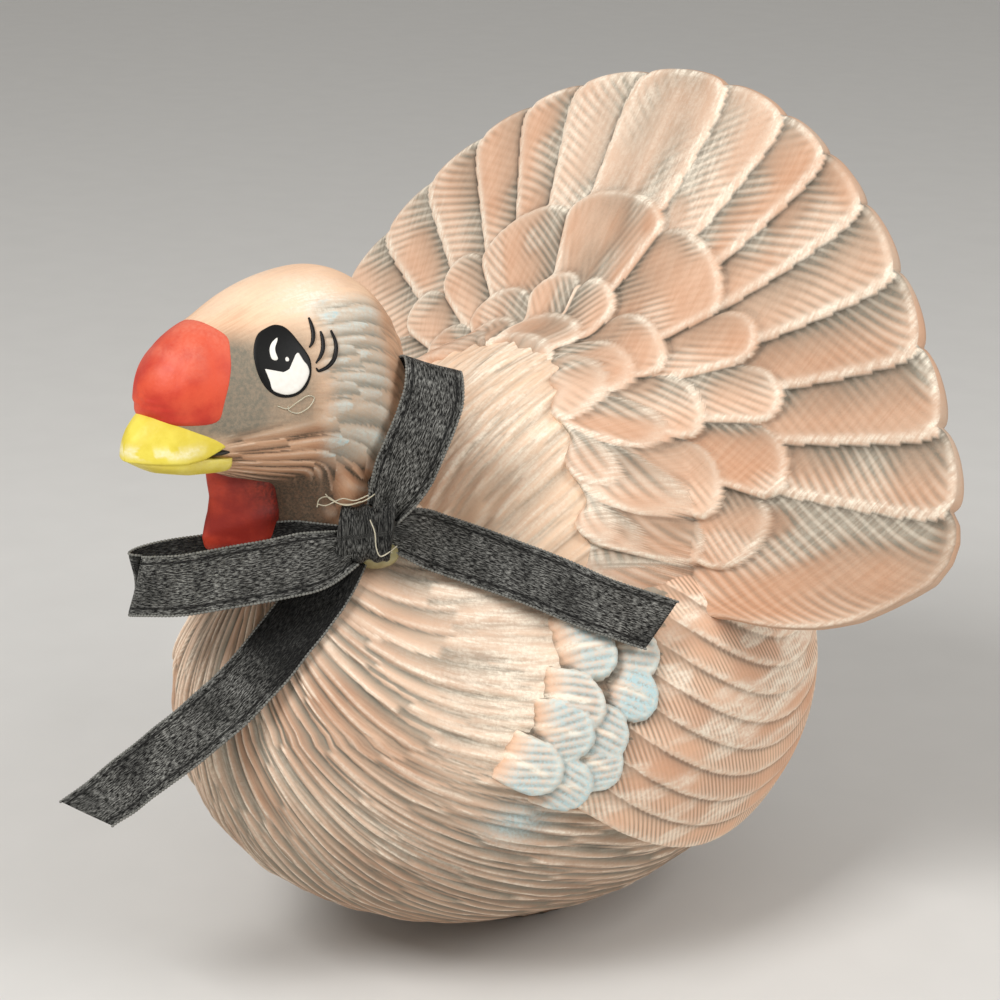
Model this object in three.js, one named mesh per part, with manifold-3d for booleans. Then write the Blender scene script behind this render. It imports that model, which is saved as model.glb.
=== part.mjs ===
// Painted bisque turkey figure with a satin bow glued to its neck.
// Millimetres, +Z up. The bird faces -Y and its left side is +X.
// The origin is the middle of the flat foot, on the surface that it stands on.
import * as THREE from 'three';
import { mergeVertices } from 'three/addons/utils/BufferGeometryUtils.js';
import Module from 'manifold-3d';

const wasm = await Module();
wasm.setup();

// Seam left between neighbouring pieces
const SEAM = 0.3;

// Body: a slip-cast hollow egg with a fuller breast, on a flat foot
const BODY_WIDTH = 100;
const BODY_LENGTH = 134;
const BODY_HEIGHT = 84.6;
const BELLY_CLEARANCE = 0.9;
const BODY_WALL = 5;
const BREAST_SWELL = 0.18;
const BREAST_ELEVATION = 36;
const BREAST_SPREAD = 23;
const FOOT_WIDTH = 30;
const FOOT_LENGTH = 38;
const FOOT_BACK = 3;
const FOOT_SINK = 3;
const VENT_DIAMETER = 10;
const VENT_BACK = 12;
const VENT_REACH = 15;

// Locks carved into the clay in rows, along lines that run over it from one pole to another
const LOCK_DEPTH = 2.2;
const LOCK_HALF_PITCHES = 0.62;
const LOCK_ROW_REACH = 1.5;
const LOCK_ROOT_SHARE = 0.4;
const LOCK_POINT_SHARE = 0.45;
const LOCK_POINT_POWER = 0.6;
const LOCK_CROWN_POWER = 1.6;
const LOCK_TIP_SHARE = 0.2;
const LOCK_SWAY = 5;
const LOCK_COLUMNS = 4;
const LOCK_POLE_SHARE = 0.03;
const LOCK_FADE_HEIGHT = 16;
const BODY_LOCKS = { around: 22, rows: 3, steps: 22 };
const CAPE_LOCKS = { around: 16, rows: 3, steps: 16 };
const TAIL_POLE_ELEVATION = 47;

// Cape: the saddle of long neck feathers over the back
const CAPE_WIDTH = 80;
const CAPE_LENGTH = 92;
const CAPE_HEIGHT_SHARE = 0.816;
const CAPE_PITCH = 25;
const CAPE_BACK = 4;
const CAPE_RISE_SHARE = 0.34;

// Tail fan: a shallow cone of feathers that leans back, measured from its hub
const FAN_LEAN = 23;
const FAN_BACK = 21;
const FAN_SEAT = 0.3;
const FAN_SLOPE = 15;
const FAN_CORE_RADIUS = 46;
const FAN_CORE_THICKNESS = 5;
const FAN_LAP = 0.45;
const TAIL_PAIRS = 8;
const TAIL_PITCH = 11.4;
const TAIL_MIDDLE_OFFSET = 2.5;
const TAIL_TIP_RADIUS = 72;
const TAIL_FLANK_START = 0.5;
const TAIL_SIDE_GROWTH = 11;
const TAIL_SIDE_WIDENING = 6;
const TAIL_SIDE_SWEEP = 4;
const TAIL_FEATHER_WIDTH = 19;
const TAIL_FEATHER_THICKNESS = 5;
const UPPER_PAIRS = 5;
const UPPER_PITCH = 18;
const UPPER_TIP_RADIUS = 48;
const UPPER_TIP_HEIGHT = 8.2;
const UPPER_FEATHER_WIDTH = 20;
const LESSER_PAIRS = 4;
const LESSER_PITCH = 23;
const LESSER_TIP_RADIUS = 33;
const LESSER_TIP_HEIGHT = 12.7;
const LESSER_FEATHER_WIDTH = 18;
const RUMP_WIDTH = 56;
const RUMP_LENGTH = 54;
const RUMP_HEIGHT = 44;
const RUMP_BACK = 4;
const FEATHER_CROWN = 1.2;
const FEATHER_ROOT_RADIUS = 12;
const FEATHER_ROOT_SHARE = 0.6;
const FEATHER_MIDDLE_SHARE = 0.9;
const FEATHER_TIP_SHARE = 0.6;
const FEATHER_TIP_TURNS = [25, 48, 66, 80];

// Head and neck
const NECK_FORWARD = 47;
const NECK_RADIUS = 13.5;
const NECK_FLARE = 4;
const NECK_FLARE_HEIGHT = 14;
const NECK_ROOT_DEPTH = 4;
const NECK_LEVELS = 8;
const HEAD_FORWARD = 48.7;
const HEAD_RISE = 37;
const HEAD_WIDTH = 35;
const HEAD_HEIGHT = 41;
const HEAD_FRONT = 29.6;
const HEAD_REAR = 17.4;

// Face pieces, placed forward of the head's middle and above or below it
const SNOOD_WIDTH = 19;
const SNOOD_LENGTH = 28;
const SNOOD_HEIGHT = 22;
const SNOOD_FORWARD = 19.5;
const SNOOD_RISE = 3.4;
const BEAK_WIDTH = 19.5;
const BEAK_LENGTH = 25;
const BEAK_HEIGHT = 12;
const BEAK_FORWARD = 24;
const BEAK_DROP = 3.2;
const JAW_WIDTH = 17;
const JAW_LENGTH = 22;
const JAW_HEIGHT = 8;
const JAW_FORWARD = 21.5;
const JAW_DROP = 7.4;
const WATTLE_WIDTH = 9;
const WATTLE_FULLNESS = 3;
const WATTLE_FORWARD = 22.8;
const WATTLE_DROP = 23.6;
const WATTLE_LENGTH = 22;
const WATTLE_LAYERS = [-0.98, -0.85, -0.5, 0, 0.5, 0.85, 0.98];
const WATTLE_EDGE = [[-0.55, 0, -1, -0.55], [-0.9, -1, -0.2, -0.75], [0.7, -0.5, 1, 0.4]];

// Folded wings: rounded coverts over long flight feathers that lap downwards.
// Places are (back, up) from the body's middle, seen from the side
const COVERT_PLACES = [
  [-22.8, 22.3], [-15.1, 21], [-18, 15.3], [-28.2, 15.6], [-31.5, 11.4],
  [-25.3, 10.4], [-37.5, 6.9], [-27.1, 5.8], [-33.1, 3.1],
];
const COVERT_RISE = 3.4;
const COVERT_LENGTH = 15;
const COVERT_WIDTH = 9.4;
const COVERT_THICKNESS = 5;
const COVERT_TIP_REACH = 5.4;
const COVERT_FALL = 28;
const COVERT_LAP = 14;
const FLIGHT_FEATHERS = 9;
const FLIGHT_WIDTH = 9.6;
const FLIGHT_ROOT_RISES = [3.9, 2.2];
const FLIGHT_TIP_RISES = [1.8, 0.8];
const FLIGHT_SINK = 2;
const FLIGHT_TOP_ROOT = [0, 26.5];
const FLIGHT_BOTTOM_ROOT = [-28, -3.5];
const FLIGHT_TOP_TIP = [48, 14];
const FLIGHT_BOTTOM_TIP = [33, -18.5];
const FLIGHT_SAG = 8;
const FLIGHT_STATIONS = [0, 0.2, 0.4, 0.6, 0.8, 0.92, 1];
const FLIGHT_TIP_START = 0.8;
const FLIGHT_TIP_NARROWING = 0.45;

// Satin bow, tied from one length of ribbon and glued to the left of the neck
const RIBBON_WIDTH = 10;
const RIBBON_THICKNESS = 0.5;
const RIBBON_CLEARANCE = 0.8;
const RIBBON_GATHER = 0.62;
const GATHER_SHARE = 0.2;
const BOW_RISE = 14.5;
const BOW_BEARING = 8;
const BOW_FACING = 45;
const BOW_TILT = 18;
const KNOT_WIDTH = 8;
const KNOT_HEIGHT = 9.5;
const KNOT_DEPTH = 5;
const KNOT_ROUNDING = 1.5;
const KNOT_WAIST = 0.8;
const GLUE_WIDTH = 9;
const GLUE_HEIGHT = 9;
const GLUE_DEPTH = 10;
const GLUE_DROP = 3.2;
const GLUE_SINK = 1.2;

// Facet counts
const BODY_FACETS = [40, 24];
const HOLLOW_FACETS = [20, 12];
const EGG_FACETS = [30, 18];
const FACE_FACETS = [20, 12];
const ROUND_SIDES = 32;
const TIP_SIDES = 6;
const BEVEL_STEPS = 3;

const rad = THREE.MathUtils.degToRad;

const FINISHES = {
  stain: { color: 0xb98a70, roughness: 0.75, metalness: 0 },
  flesh: { color: 0xd24a30, roughness: 0.6, metalness: 0 },
  horn: { color: 0xead35c, roughness: 0.6, metalness: 0 },
  satin: { color: 0x0c0c0e, roughness: 0.35, metalness: 0 },
  glue: { color: 0xe0d8a8, roughness: 0.3, metalness: 0 },
};

// Solids and booleans

function solid(geometry) {
  const bare = geometry.clone();
  bare.deleteAttribute('normal');
  bare.deleteAttribute('uv');
  const merged = mergeVertices(bare, 1e-4);
  return new wasm.Manifold(new wasm.Mesh({
    numProp: 3,
    vertProperties: Float32Array.from(merged.attributes.position.array),
    triVerts: Uint32Array.from(merged.index.array),
  }));
}

function subMesh(name, body, finish) {
  const { vertProperties, triVerts } = body.getMesh();
  const geometry = new THREE.BufferGeometry();
  geometry.setAttribute('position', new THREE.BufferAttribute(Float32Array.from(vertProperties), 3));
  geometry.setIndex(Array.from(triVerts));
  geometry.computeVertexNormals();
  const mesh = new THREE.Mesh(geometry, new THREE.MeshStandardMaterial(FINISHES[finish]));
  mesh.name = name;
  return mesh;
}

// Skin through rings of equal point counts, with a flat cap at each end, facing outwards
function loft(rings) {
  const sides = rings[0].length;
  const positions = rings.flat().flatMap((p) => [p.x, p.y, p.z]);
  const faces = [];
  for (let i = 0; i + 1 < rings.length; i++) {
    for (let j = 0; j < sides; j++) {
      const a = i * sides + j;
      const b = i * sides + ((j + 1) % sides);
      faces.push([a, b, b + sides], [a, b + sides, a + sides]);
    }
  }
  const last = (rings.length - 1) * sides;
  for (let j = 1; j + 1 < sides; j++) {
    faces.push([0, j + 1, j], [last, last + j, last + j + 1]);
  }
  const corner = (k) => new THREE.Vector3().fromArray(positions, 3 * k);
  const volume = faces.reduce((sum, [a, b, c]) => sum + corner(a).dot(corner(b).cross(corner(c))), 0);
  const outward = volume > 0 ? faces : faces.map(([a, b, c]) => [a, c, b]);
  const geometry = new THREE.BufferGeometry();
  geometry.setAttribute('position', new THREE.Float32BufferAttribute(positions, 3));
  geometry.setIndex(outward.flat());
  return geometry;
}

function ellipsoid(width, length, height, centre, facets, grow = 0, pitch = 0) {
  const geometry = new THREE.SphereGeometry(1, ...facets);
  geometry.scale(width / 2 + grow, length / 2 + grow, height / 2 + grow);
  geometry.rotateX(rad(pitch));
  geometry.translate(centre.x, centre.y, centre.z);
  return solid(geometry);
}

// The same piece on the bird's other side
function mirrored(body) {
  const { vertProperties, triVerts } = body.getMesh();
  const flipped = Float32Array.from(vertProperties, (value, k) => (k % 3 === 0 ? -value : value));
  const turned = Uint32Array.from(triVerts);
  for (let k = 0; k < turned.length; k += 3) {
    [turned[k + 1], turned[k + 2]] = [turned[k + 2], turned[k + 1]];
  }
  return new wasm.Manifold(new wasm.Mesh({ numProp: 3, vertProperties: flipped, triVerts: turned }));
}

// Body

const bodyCentre = new THREE.Vector3(0, 0, BODY_HEIGHT / 2 + BELLY_CLEARANCE);

// The breast swells out of the egg around one direction, and fades away from it
function breastSwell(direction) {
  const breast = new THREE.Vector3(0, -Math.cos(rad(BREAST_ELEVATION)), Math.sin(rad(BREAST_ELEVATION)));
  const away = direction.angleTo(breast) / rad(BREAST_SPREAD);
  return 1 + BREAST_SWELL * Math.exp(-(away ** 2) / 2);
}

function bodyReach(grow) {
  return new THREE.Vector3(BODY_WIDTH, BODY_LENGTH, BODY_HEIGHT).divideScalar(2).addScalar(grow);
}

function bodyEgg(grow, facets = BODY_FACETS) {
  const geometry = new THREE.SphereGeometry(1, ...facets);
  const points = geometry.attributes.position;
  const point = new THREE.Vector3();
  for (let k = 0; k < points.count; k++) {
    point.fromBufferAttribute(points, k);
    point.multiplyScalar(breastSwell(point));
    points.setXYZ(k, point.x, point.y, point.z);
  }
  geometry.scale(...bodyReach(grow));
  geometry.translate(...bodyCentre);
  return solid(geometry);
}

// Directions in rings from one pole to another, on the circles that pass through both of them.
// The turn of each line sways a little on its way
function combedRings(from, to, columns, steps) {
  const chord = to.clone().sub(from);
  const half = chord.length() / 2;
  const middle = from.clone().add(to).divideScalar(2);
  chord.normalize();
  const side = new THREE.Vector3(1, 0, 0);
  const up = new THREE.Vector3().crossVectors(side, chord);
  const rings = [];
  for (let i = 0; i <= steps; i++) {
    const along = THREE.MathUtils.lerp(LOCK_POLE_SHARE, 1 - LOCK_POLE_SHARE, i / steps);
    rings.push(Array.from({ length: columns }, (_, j) => {
      const turn = (2 * Math.PI * j) / columns + rad(LOCK_SWAY) * Math.sin(2 * Math.PI * along);
      const out = side.clone().multiplyScalar(Math.sin(turn)).addScaledVector(up, Math.cos(turn));
      const offset = -middle.dot(out);
      const radius = Math.hypot(half, offset);
      const start = Math.asin(-offset / radius);
      const angle = THREE.MathUtils.lerp(start, Math.PI - start, along);
      return middle.clone()
        .addScaledVector(out, offset + radius * Math.sin(angle))
        .addScaledVector(chord, -radius * Math.cos(angle));
    }));
  }
  return rings;
}

// How deep a point lies under the crest of the lock on top there, as a share of the carving's depth.
// Each row is set half a pitch aside from the last one, and its locks widen and end in a point
function lockGroove(place, along, rows) {
  let crest = 0;
  for (let row = 0; row < rows; row++) {
    const share = (along * rows - row) / LOCK_ROW_REACH;
    if (share < 0 || share > 1) continue;
    const root = Math.min(1, LOCK_ROOT_SHARE + share / LOCK_ROOT_SHARE);
    const point = Math.min(1, (1 - share) / LOCK_POINT_SHARE) ** LOCK_POINT_POWER;
    const turned = place + row / 2;
    const aside = Math.abs(turned - Math.round(turned)) / (LOCK_HALF_PITCHES * root * point);
    const crown = Math.max(0, 1 - aside ** LOCK_CROWN_POWER);
    crest = Math.max(crest, aside < 1 ? LOCK_TIP_SHARE * share + (1 - LOCK_TIP_SHARE) * crown : 0);
  }
  return 1 - crest;
}

// An egg with locks carved into it: its surface along a direction, and the half-sizes that turn it
function carvedEgg(from, to, { around, rows, steps }, reach, surface) {
  const rings = combedRings(from, to, LOCK_COLUMNS * around, steps);
  return loft(rings.map((ring, i) => ring.map((direction, j) => {
    const point = surface(direction);
    const fade = THREE.MathUtils.smoothstep(point.z, 0, LOCK_FADE_HEIGHT);
    const depth = LOCK_DEPTH * fade * lockGroove(j / LOCK_COLUMNS, i / steps, rows);
    return point.addScaledVector(direction.clone().divide(reach).normalize(), -depth);
  })));
}

function bodySurface(direction) {
  return direction.clone().multiplyScalar(breastSwell(direction)).multiply(bodyReach(0)).add(bodyCentre);
}

function carvedBody() {
  const forward = NECK_FORWARD / (BODY_LENGTH / 2);
  const neckPole = new THREE.Vector3(0, -forward, Math.sqrt(1 - forward ** 2));
  const rise = rad(TAIL_POLE_ELEVATION);
  const tailPole = new THREE.Vector3(0, Math.cos(rise), Math.sin(rise));
  return solid(carvedEgg(neckPole, tailPole, BODY_LOCKS, bodyReach(0), bodySurface));
}

// Moves a point that is nearer to the body than the clearance straight out to it
function clearOfBody(point, clearance) {
  const reach = bodyReach(clearance);
  const direction = point.clone().sub(bodyCentre).divide(reach);
  const depth = breastSwell(direction) / direction.length();
  return depth > 1 ? direction.multiplyScalar(depth).multiply(reach).add(bodyCentre) : point;
}

function footPad() {
  const height = BELLY_CLEARANCE + FOOT_SINK;
  const pad = new THREE.CylinderGeometry(1, 1, height, ROUND_SIDES);
  pad.rotateX(Math.PI / 2);
  pad.scale(FOOT_WIDTH / 2, FOOT_LENGTH / 2, 1);
  pad.translate(0, FOOT_BACK, height / 2);
  return solid(pad);
}

function bodyShell() {
  const ventRadius = VENT_DIAMETER / 2;
  const vent = new THREE.CylinderGeometry(ventRadius, ventRadius, 2 * VENT_REACH, ROUND_SIDES);
  vent.rotateX(Math.PI / 2);
  vent.translate(0, VENT_BACK, 0);
  return carvedBody().add(footPad()).subtract(bodyEgg(-BODY_WALL, HOLLOW_FACETS)).subtract(solid(vent));
}

// Head and neck

const neckShare = NECK_FORWARD / (BODY_LENGTH / 2);
const neckBase = bodyCentre.z + (BODY_HEIGHT / 2) * Math.sqrt(1 - neckShare ** 2);
const headCentre = new THREE.Vector3(0, -HEAD_FORWARD, neckBase + HEAD_RISE);

function neckRadiusAt(rise) {
  const flare = Math.max(0, 1 - rise / NECK_FLARE_HEIGHT);
  return NECK_RADIUS + NECK_FLARE * flare ** 2;
}

function neckAxisAt(rise) {
  const y = THREE.MathUtils.mapLinear(rise, 0, HEAD_RISE, -NECK_FORWARD, headCentre.y);
  return new THREE.Vector3(0, y, neckBase + rise);
}

function neckColumn(grow) {
  const rings = [];
  for (let i = 0; i <= NECK_LEVELS; i++) {
    const rise = THREE.MathUtils.lerp(-NECK_ROOT_DEPTH, HEAD_RISE, i / NECK_LEVELS);
    const centre = neckAxisAt(rise);
    const radius = neckRadiusAt(Math.max(0, rise)) + grow;
    rings.push(Array.from({ length: ROUND_SIDES }, (_, k) => {
      const turn = (2 * Math.PI * k) / ROUND_SIDES;
      return new THREE.Vector3(radius * Math.cos(turn), radius * Math.sin(turn), 0).add(centre);
    }));
  }
  return solid(loft(rings));
}

function headEgg(grow) {
  const geometry = new THREE.SphereGeometry(1, ...EGG_FACETS);
  const points = geometry.attributes.position;
  for (let k = 0; k < points.count; k++) {
    const reach = points.getY(k) < 0 ? HEAD_FRONT : HEAD_REAR;
    points.setXYZ(
      k,
      points.getX(k) * (HEAD_WIDTH / 2 + grow),
      points.getY(k) * (reach + grow),
      points.getZ(k) * (HEAD_HEIGHT / 2 + grow),
    );
  }
  geometry.translate(headCentre.x, headCentre.y, headCentre.z);
  return solid(geometry);
}

function headAndNeck(grow) {
  return headEgg(grow).add(neckColumn(grow));
}

function facePoint(forward, rise) {
  return headCentre.clone().add(new THREE.Vector3(0, -forward, rise));
}

function snoodBlob(grow) {
  const centre = facePoint(SNOOD_FORWARD, SNOOD_RISE);
  return ellipsoid(SNOOD_WIDTH, SNOOD_LENGTH, SNOOD_HEIGHT, centre, FACE_FACETS, grow);
}

function beakBlob(grow) {
  const centre = facePoint(BEAK_FORWARD, -BEAK_DROP);
  return ellipsoid(BEAK_WIDTH, BEAK_LENGTH, BEAK_HEIGHT, centre, FACE_FACETS, grow);
}

function jawBlob(grow) {
  const centre = facePoint(JAW_FORWARD, -JAW_DROP);
  return ellipsoid(JAW_WIDTH, JAW_LENGTH, JAW_HEIGHT, centre, FACE_FACETS, grow);
}

// A flap that hangs from the throat, with a hollow front edge and a round lobe at the bottom.
// It is thickest in the middle and thins to a rounded rim.
function wattleFlap() {
  const half = WATTLE_LENGTH / 2;
  const outline = new THREE.Shape();
  outline.moveTo(-half, half);
  for (const curve of WATTLE_EDGE) {
    outline.quadraticCurveTo(...curve.map((share) => share * half));
  }
  outline.lineTo(half, half);
  const centre = facePoint(WATTLE_FORWARD - half, half - WATTLE_DROP);
  const rings = WATTLE_LAYERS.map((share) => {
    const inset = (1 - Math.abs(share) ** WATTLE_FULLNESS) ** (1 / WATTLE_FULLNESS);
    const x = (share * WATTLE_WIDTH) / 2;
    const layer = (p) => new THREE.Vector3(x, p.x * inset, p.y * inset).add(centre);
    return outline.getPoints(TIP_SIDES).map(layer);
  });
  return solid(loft(rings));
}

// Tail fan, in axes of its own: x across, y out of the front, z down from the hub

const fanOut = new THREE.Vector3(0, -Math.cos(rad(FAN_LEAN)), Math.sin(rad(FAN_LEAN)));
const fanDown = new THREE.Vector3(0, -Math.sin(rad(FAN_LEAN)), -Math.cos(rad(FAN_LEAN)));
const fanPlace = new THREE.Matrix4()
  .makeBasis(new THREE.Vector3(1, 0, 0), fanOut, fanDown)
  .setPosition(bodyCentre.clone().add(new THREE.Vector3(0, FAN_BACK, BODY_HEIGHT / 2 + FAN_SEAT)));

function tailFeatherHeight(radius) {
  return (TAIL_TIP_RADIUS - radius) * Math.tan(rad(FAN_SLOPE));
}

// A solid of revolution behind the cone that the feathers lie on
function fanCone(radius, front, back) {
  const profile = [
    [0, tailFeatherHeight(0) + front],
    [radius, tailFeatherHeight(radius) + front],
    [radius, tailFeatherHeight(radius) + back],
    [0, tailFeatherHeight(0) + back],
  ].map(([x, y]) => new THREE.Vector2(x, y));
  return solid(new THREE.LatheGeometry(profile.reverse(), ROUND_SIDES).applyMatrix4(fanPlace));
}

// One feather lying along +Y: it widens from its root, is crowned along its shaft and ends round
function featherBlade(length, width, thickness) {
  const half = width / 2;
  const tip = half * FEATHER_TIP_SHARE;
  const tipStart = length - tip;
  const stations = [
    [0, half * FEATHER_ROOT_SHARE],
    [tipStart / 2, half * FEATHER_MIDDLE_SHARE],
    [tipStart, half],
  ];
  for (const turn of FEATHER_TIP_TURNS) {
    stations.push([tipStart + tip * Math.sin(rad(turn)), half * Math.cos(rad(turn))]);
  }
  return loft(stations.map(([along, reach]) => [
    new THREE.Vector3(-reach, along, -FEATHER_CROWN),
    new THREE.Vector3(0, along, 0),
    new THREE.Vector3(reach, along, -FEATHER_CROWN),
    new THREE.Vector3(reach, along, -thickness),
    new THREE.Vector3(-reach, along, -thickness),
  ]));
}

function fanFeather(angle, tipRadius, tipHeight, width, thickness) {
  const turn = rad(angle);
  const slope = rad(FAN_SLOPE);
  const across = new THREE.Vector3(Math.cos(turn), 0, Math.sin(turn));
  const along = new THREE.Vector3(
    Math.sin(turn) * Math.cos(slope),
    -Math.sin(slope),
    -Math.cos(turn) * Math.cos(slope),
  );
  const out = new THREE.Vector3().crossVectors(across, along);
  const length = (tipRadius - FEATHER_ROOT_RADIUS) / Math.cos(slope);
  const root = new THREE.Vector3(Math.sin(turn) * tipRadius, tipHeight, -Math.cos(turn) * tipRadius)
    .addScaledVector(along, -length);
  const place = new THREE.Matrix4().makeBasis(across, along, out).setPosition(root);
  return solid(featherBlade(length, width, thickness).applyMatrix4(place.premultiply(fanPlace)));
}

// A row of feathers on both sides of the middle one, each tucked under its inner neighbour
function featherRow(pairs, pitch, tip, offset = 0) {
  const row = [];
  for (let i = -pairs; i <= pairs; i++) {
    const { radius, height, width } = tip(Math.abs(i) / pairs);
    const lapped = height - FAN_LAP * Math.abs(i);
    const angle = i * pitch + Math.sign(i) * offset;
    row.push(fanFeather(angle, radius, lapped, width, TAIL_FEATHER_THICKNESS));
  }
  return row;
}

function fanFeathers() {
  const tailTip = (side) => {
    const flank = Math.max(0, (side - TAIL_FLANK_START) / (1 - TAIL_FLANK_START)) ** 2;
    return {
      radius: TAIL_TIP_RADIUS + TAIL_SIDE_GROWTH * flank,
      height: TAIL_SIDE_SWEEP * flank,
      width: TAIL_FEATHER_WIDTH + TAIL_SIDE_WIDENING * flank,
    };
  };
  const upperTip = {
    radius: UPPER_TIP_RADIUS,
    height: UPPER_TIP_HEIGHT,
    width: UPPER_FEATHER_WIDTH,
  };
  const lesserTip = {
    radius: LESSER_TIP_RADIUS,
    height: LESSER_TIP_HEIGHT,
    width: LESSER_FEATHER_WIDTH,
  };
  return [
    ...featherRow(TAIL_PAIRS, TAIL_PITCH, tailTip, TAIL_MIDDLE_OFFSET),
    ...featherRow(UPPER_PAIRS, UPPER_PITCH, () => upperTip),
    ...featherRow(LESSER_PAIRS, LESSER_PITCH, () => lesserTip),
  ];
}

// Cape: an egg laid up the back, seated on the body, the neck and the fan's cone

const capeReach = new THREE.Vector3(CAPE_WIDTH, CAPE_LENGTH, CAPE_HEIGHT_SHARE * BODY_HEIGHT).divideScalar(2);
const capeCentre = bodyCentre.clone().add(new THREE.Vector3(0, CAPE_BACK, CAPE_RISE_SHARE * BODY_HEIGHT));

function behindFan(grow) {
  return fanCone(2 * TAIL_TIP_RADIUS, SEAM - grow - FEATHER_CROWN, -CAPE_LENGTH);
}

function capeEgg(grow) {
  const sizes = capeReach.clone().multiplyScalar(2);
  return ellipsoid(...sizes, capeCentre, EGG_FACETS, grow, CAPE_PITCH).subtract(behindFan(grow));
}

function backCape() {
  const front = new THREE.Vector3(0, -1, 0);
  const place = (direction) => direction.clone().multiply(capeReach).add(capeCentre);
  const carved = carvedEgg(front, front.clone().negate(), CAPE_LOCKS, capeReach, place);
  carved.translate(...capeCentre.clone().negate());
  carved.rotateX(rad(CAPE_PITCH));
  carved.translate(...capeCentre);
  return solid(carved).subtract(behindFan(0)).subtract(bodyEgg(SEAM)).subtract(headAndNeck(SEAM));
}

// The rump that carries the fan fills the angle between its back and the body
function rump() {
  const centre = new THREE.Vector3(0, RUMP_BACK, 0).add(new THREE.Vector3().setFromMatrixPosition(fanPlace));
  return ellipsoid(RUMP_WIDTH, RUMP_LENGTH, RUMP_HEIGHT, centre, EGG_FACETS);
}

function tailFan() {
  let fan = fanCone(FAN_CORE_RADIUS, -FEATHER_CROWN, -FEATHER_CROWN - FAN_CORE_THICKNESS);
  for (const feather of fanFeathers()) {
    fan = fan.add(feather);
  }
  return fan.add(rump()).subtract(bodyEgg(SEAM)).subtract(capeEgg(SEAM));
}

// Wings: feathers laid on the body's flank

function flankDirection([back, up]) {
  const y = back / (BODY_LENGTH / 2);
  const z = up / (BODY_HEIGHT / 2);
  return new THREE.Vector3(Math.sqrt(Math.max(0, 1 - y ** 2 - z ** 2)), y, z);
}

function flankNormal(place) {
  return flankDirection(place).divide(bodyReach(0)).normalize();
}

function flankPoint(place, rise) {
  return bodySurface(flankDirection(place)).addScaledVector(flankNormal(place), rise);
}

// A covert: a short feather whose root is sunk in the flank and whose tip stands off it
function covert(place) {
  const normal = flankNormal(place);
  const back = new THREE.Vector3(0, Math.cos(rad(COVERT_FALL)), -Math.sin(rad(COVERT_FALL)));
  const across = new THREE.Vector3().crossVectors(back, normal).normalize();
  const along = new THREE.Vector3().crossVectors(normal, across).applyAxisAngle(across, rad(COVERT_LAP));
  const out = new THREE.Vector3().crossVectors(across, along);
  const root = flankPoint(place, COVERT_RISE).addScaledVector(along, COVERT_TIP_REACH - COVERT_LENGTH);
  const turn = new THREE.Matrix4().makeBasis(across, along, out).setPosition(root);
  return solid(featherBlade(COVERT_LENGTH, COVERT_WIDTH, COVERT_THICKNESS).applyMatrix4(turn));
}

// Flight feathers, from the top one down: each bows from its root to its tip, with its upper edge
// tucked under the one above it and its lower edge standing off the flank
function flightFeather(index) {
  const step = index / (FLIGHT_FEATHERS - 1);
  const between = (top, bottom) => new THREE.Vector2(...top).lerp(new THREE.Vector2(...bottom), step);
  const root = between(FLIGHT_TOP_ROOT, FLIGHT_BOTTOM_ROOT);
  const tip = between(FLIGHT_TOP_TIP, FLIGHT_BOTTOM_TIP);
  const bow = root.clone().add(tip).divideScalar(2);
  bow.y -= 2 * FLIGHT_SAG;
  const edge = new THREE.QuadraticBezierCurve(root, bow, tip);
  return solid(loft(FLIGHT_STATIONS.map((share) => {
    const { x, y } = edge.getPoint(share);
    const narrowing = Math.max(0, (share - FLIGHT_TIP_START) / (1 - FLIGHT_TIP_START)) ** 2;
    const inset = FLIGHT_WIDTH * FLIGHT_TIP_NARROWING * narrowing;
    const lower = [x, y + inset];
    const upper = [x, y + FLIGHT_WIDTH - inset];
    const [lowRise, highRise] = FLIGHT_ROOT_RISES.map((rise, k) => (
      THREE.MathUtils.lerp(rise, FLIGHT_TIP_RISES[k], share)
    ));
    return [
      flankPoint(lower, lowRise),
      flankPoint(upper, highRise),
      flankPoint(upper, -FLIGHT_SINK),
      flankPoint(lower, -FLIGHT_SINK),
    ];
  })));
}

// A piece moved by the seam along each axis, to cut its neighbours with
function withSeam(body) {
  let grown = body;
  for (const axis of [0, 1, 2]) {
    const step = [0, 0, 0];
    step[axis] = SEAM;
    grown = grown.add(body.translate(step)).add(body.translate(step.map((size) => -size)));
  }
  return grown;
}

function wing(fan) {
  let folded = covert(COVERT_PLACES[0]);
  for (const place of COVERT_PLACES.slice(1)) {
    folded = folded.add(covert(place));
  }
  for (let index = 0; index < FLIGHT_FEATHERS; index++) {
    folded = folded.add(flightFeather(index));
  }
  return folded.subtract(bodyEgg(SEAM)).subtract(capeEgg(SEAM)).subtract(withSeam(fan));
}

// Bow, in axes of its own: u to the right, v up and n out of its face

const bowFacing = new THREE.Vector3(Math.sin(rad(BOW_FACING)), -Math.cos(rad(BOW_FACING)), 0);
const bowOut = bowFacing.clone().multiplyScalar(Math.cos(rad(BOW_TILT)));
bowOut.z = Math.sin(rad(BOW_TILT));
const bowRight = new THREE.Vector3(Math.cos(rad(BOW_FACING)), Math.sin(rad(BOW_FACING)), 0);
const bowUp = new THREE.Vector3().crossVectors(bowOut, bowRight);
const bowBearing = new THREE.Vector3(Math.cos(rad(BOW_BEARING)), -Math.sin(rad(BOW_BEARING)), 0);
const bowCentre = neckAxisAt(BOW_RISE)
  .addScaledVector(bowBearing, neckRadiusAt(BOW_RISE) + KNOT_DEPTH / 2 + SEAM);
const bowPlace = new THREE.Matrix4().makeBasis(bowRight, bowUp, bowOut).setPosition(bowCentre);

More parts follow.
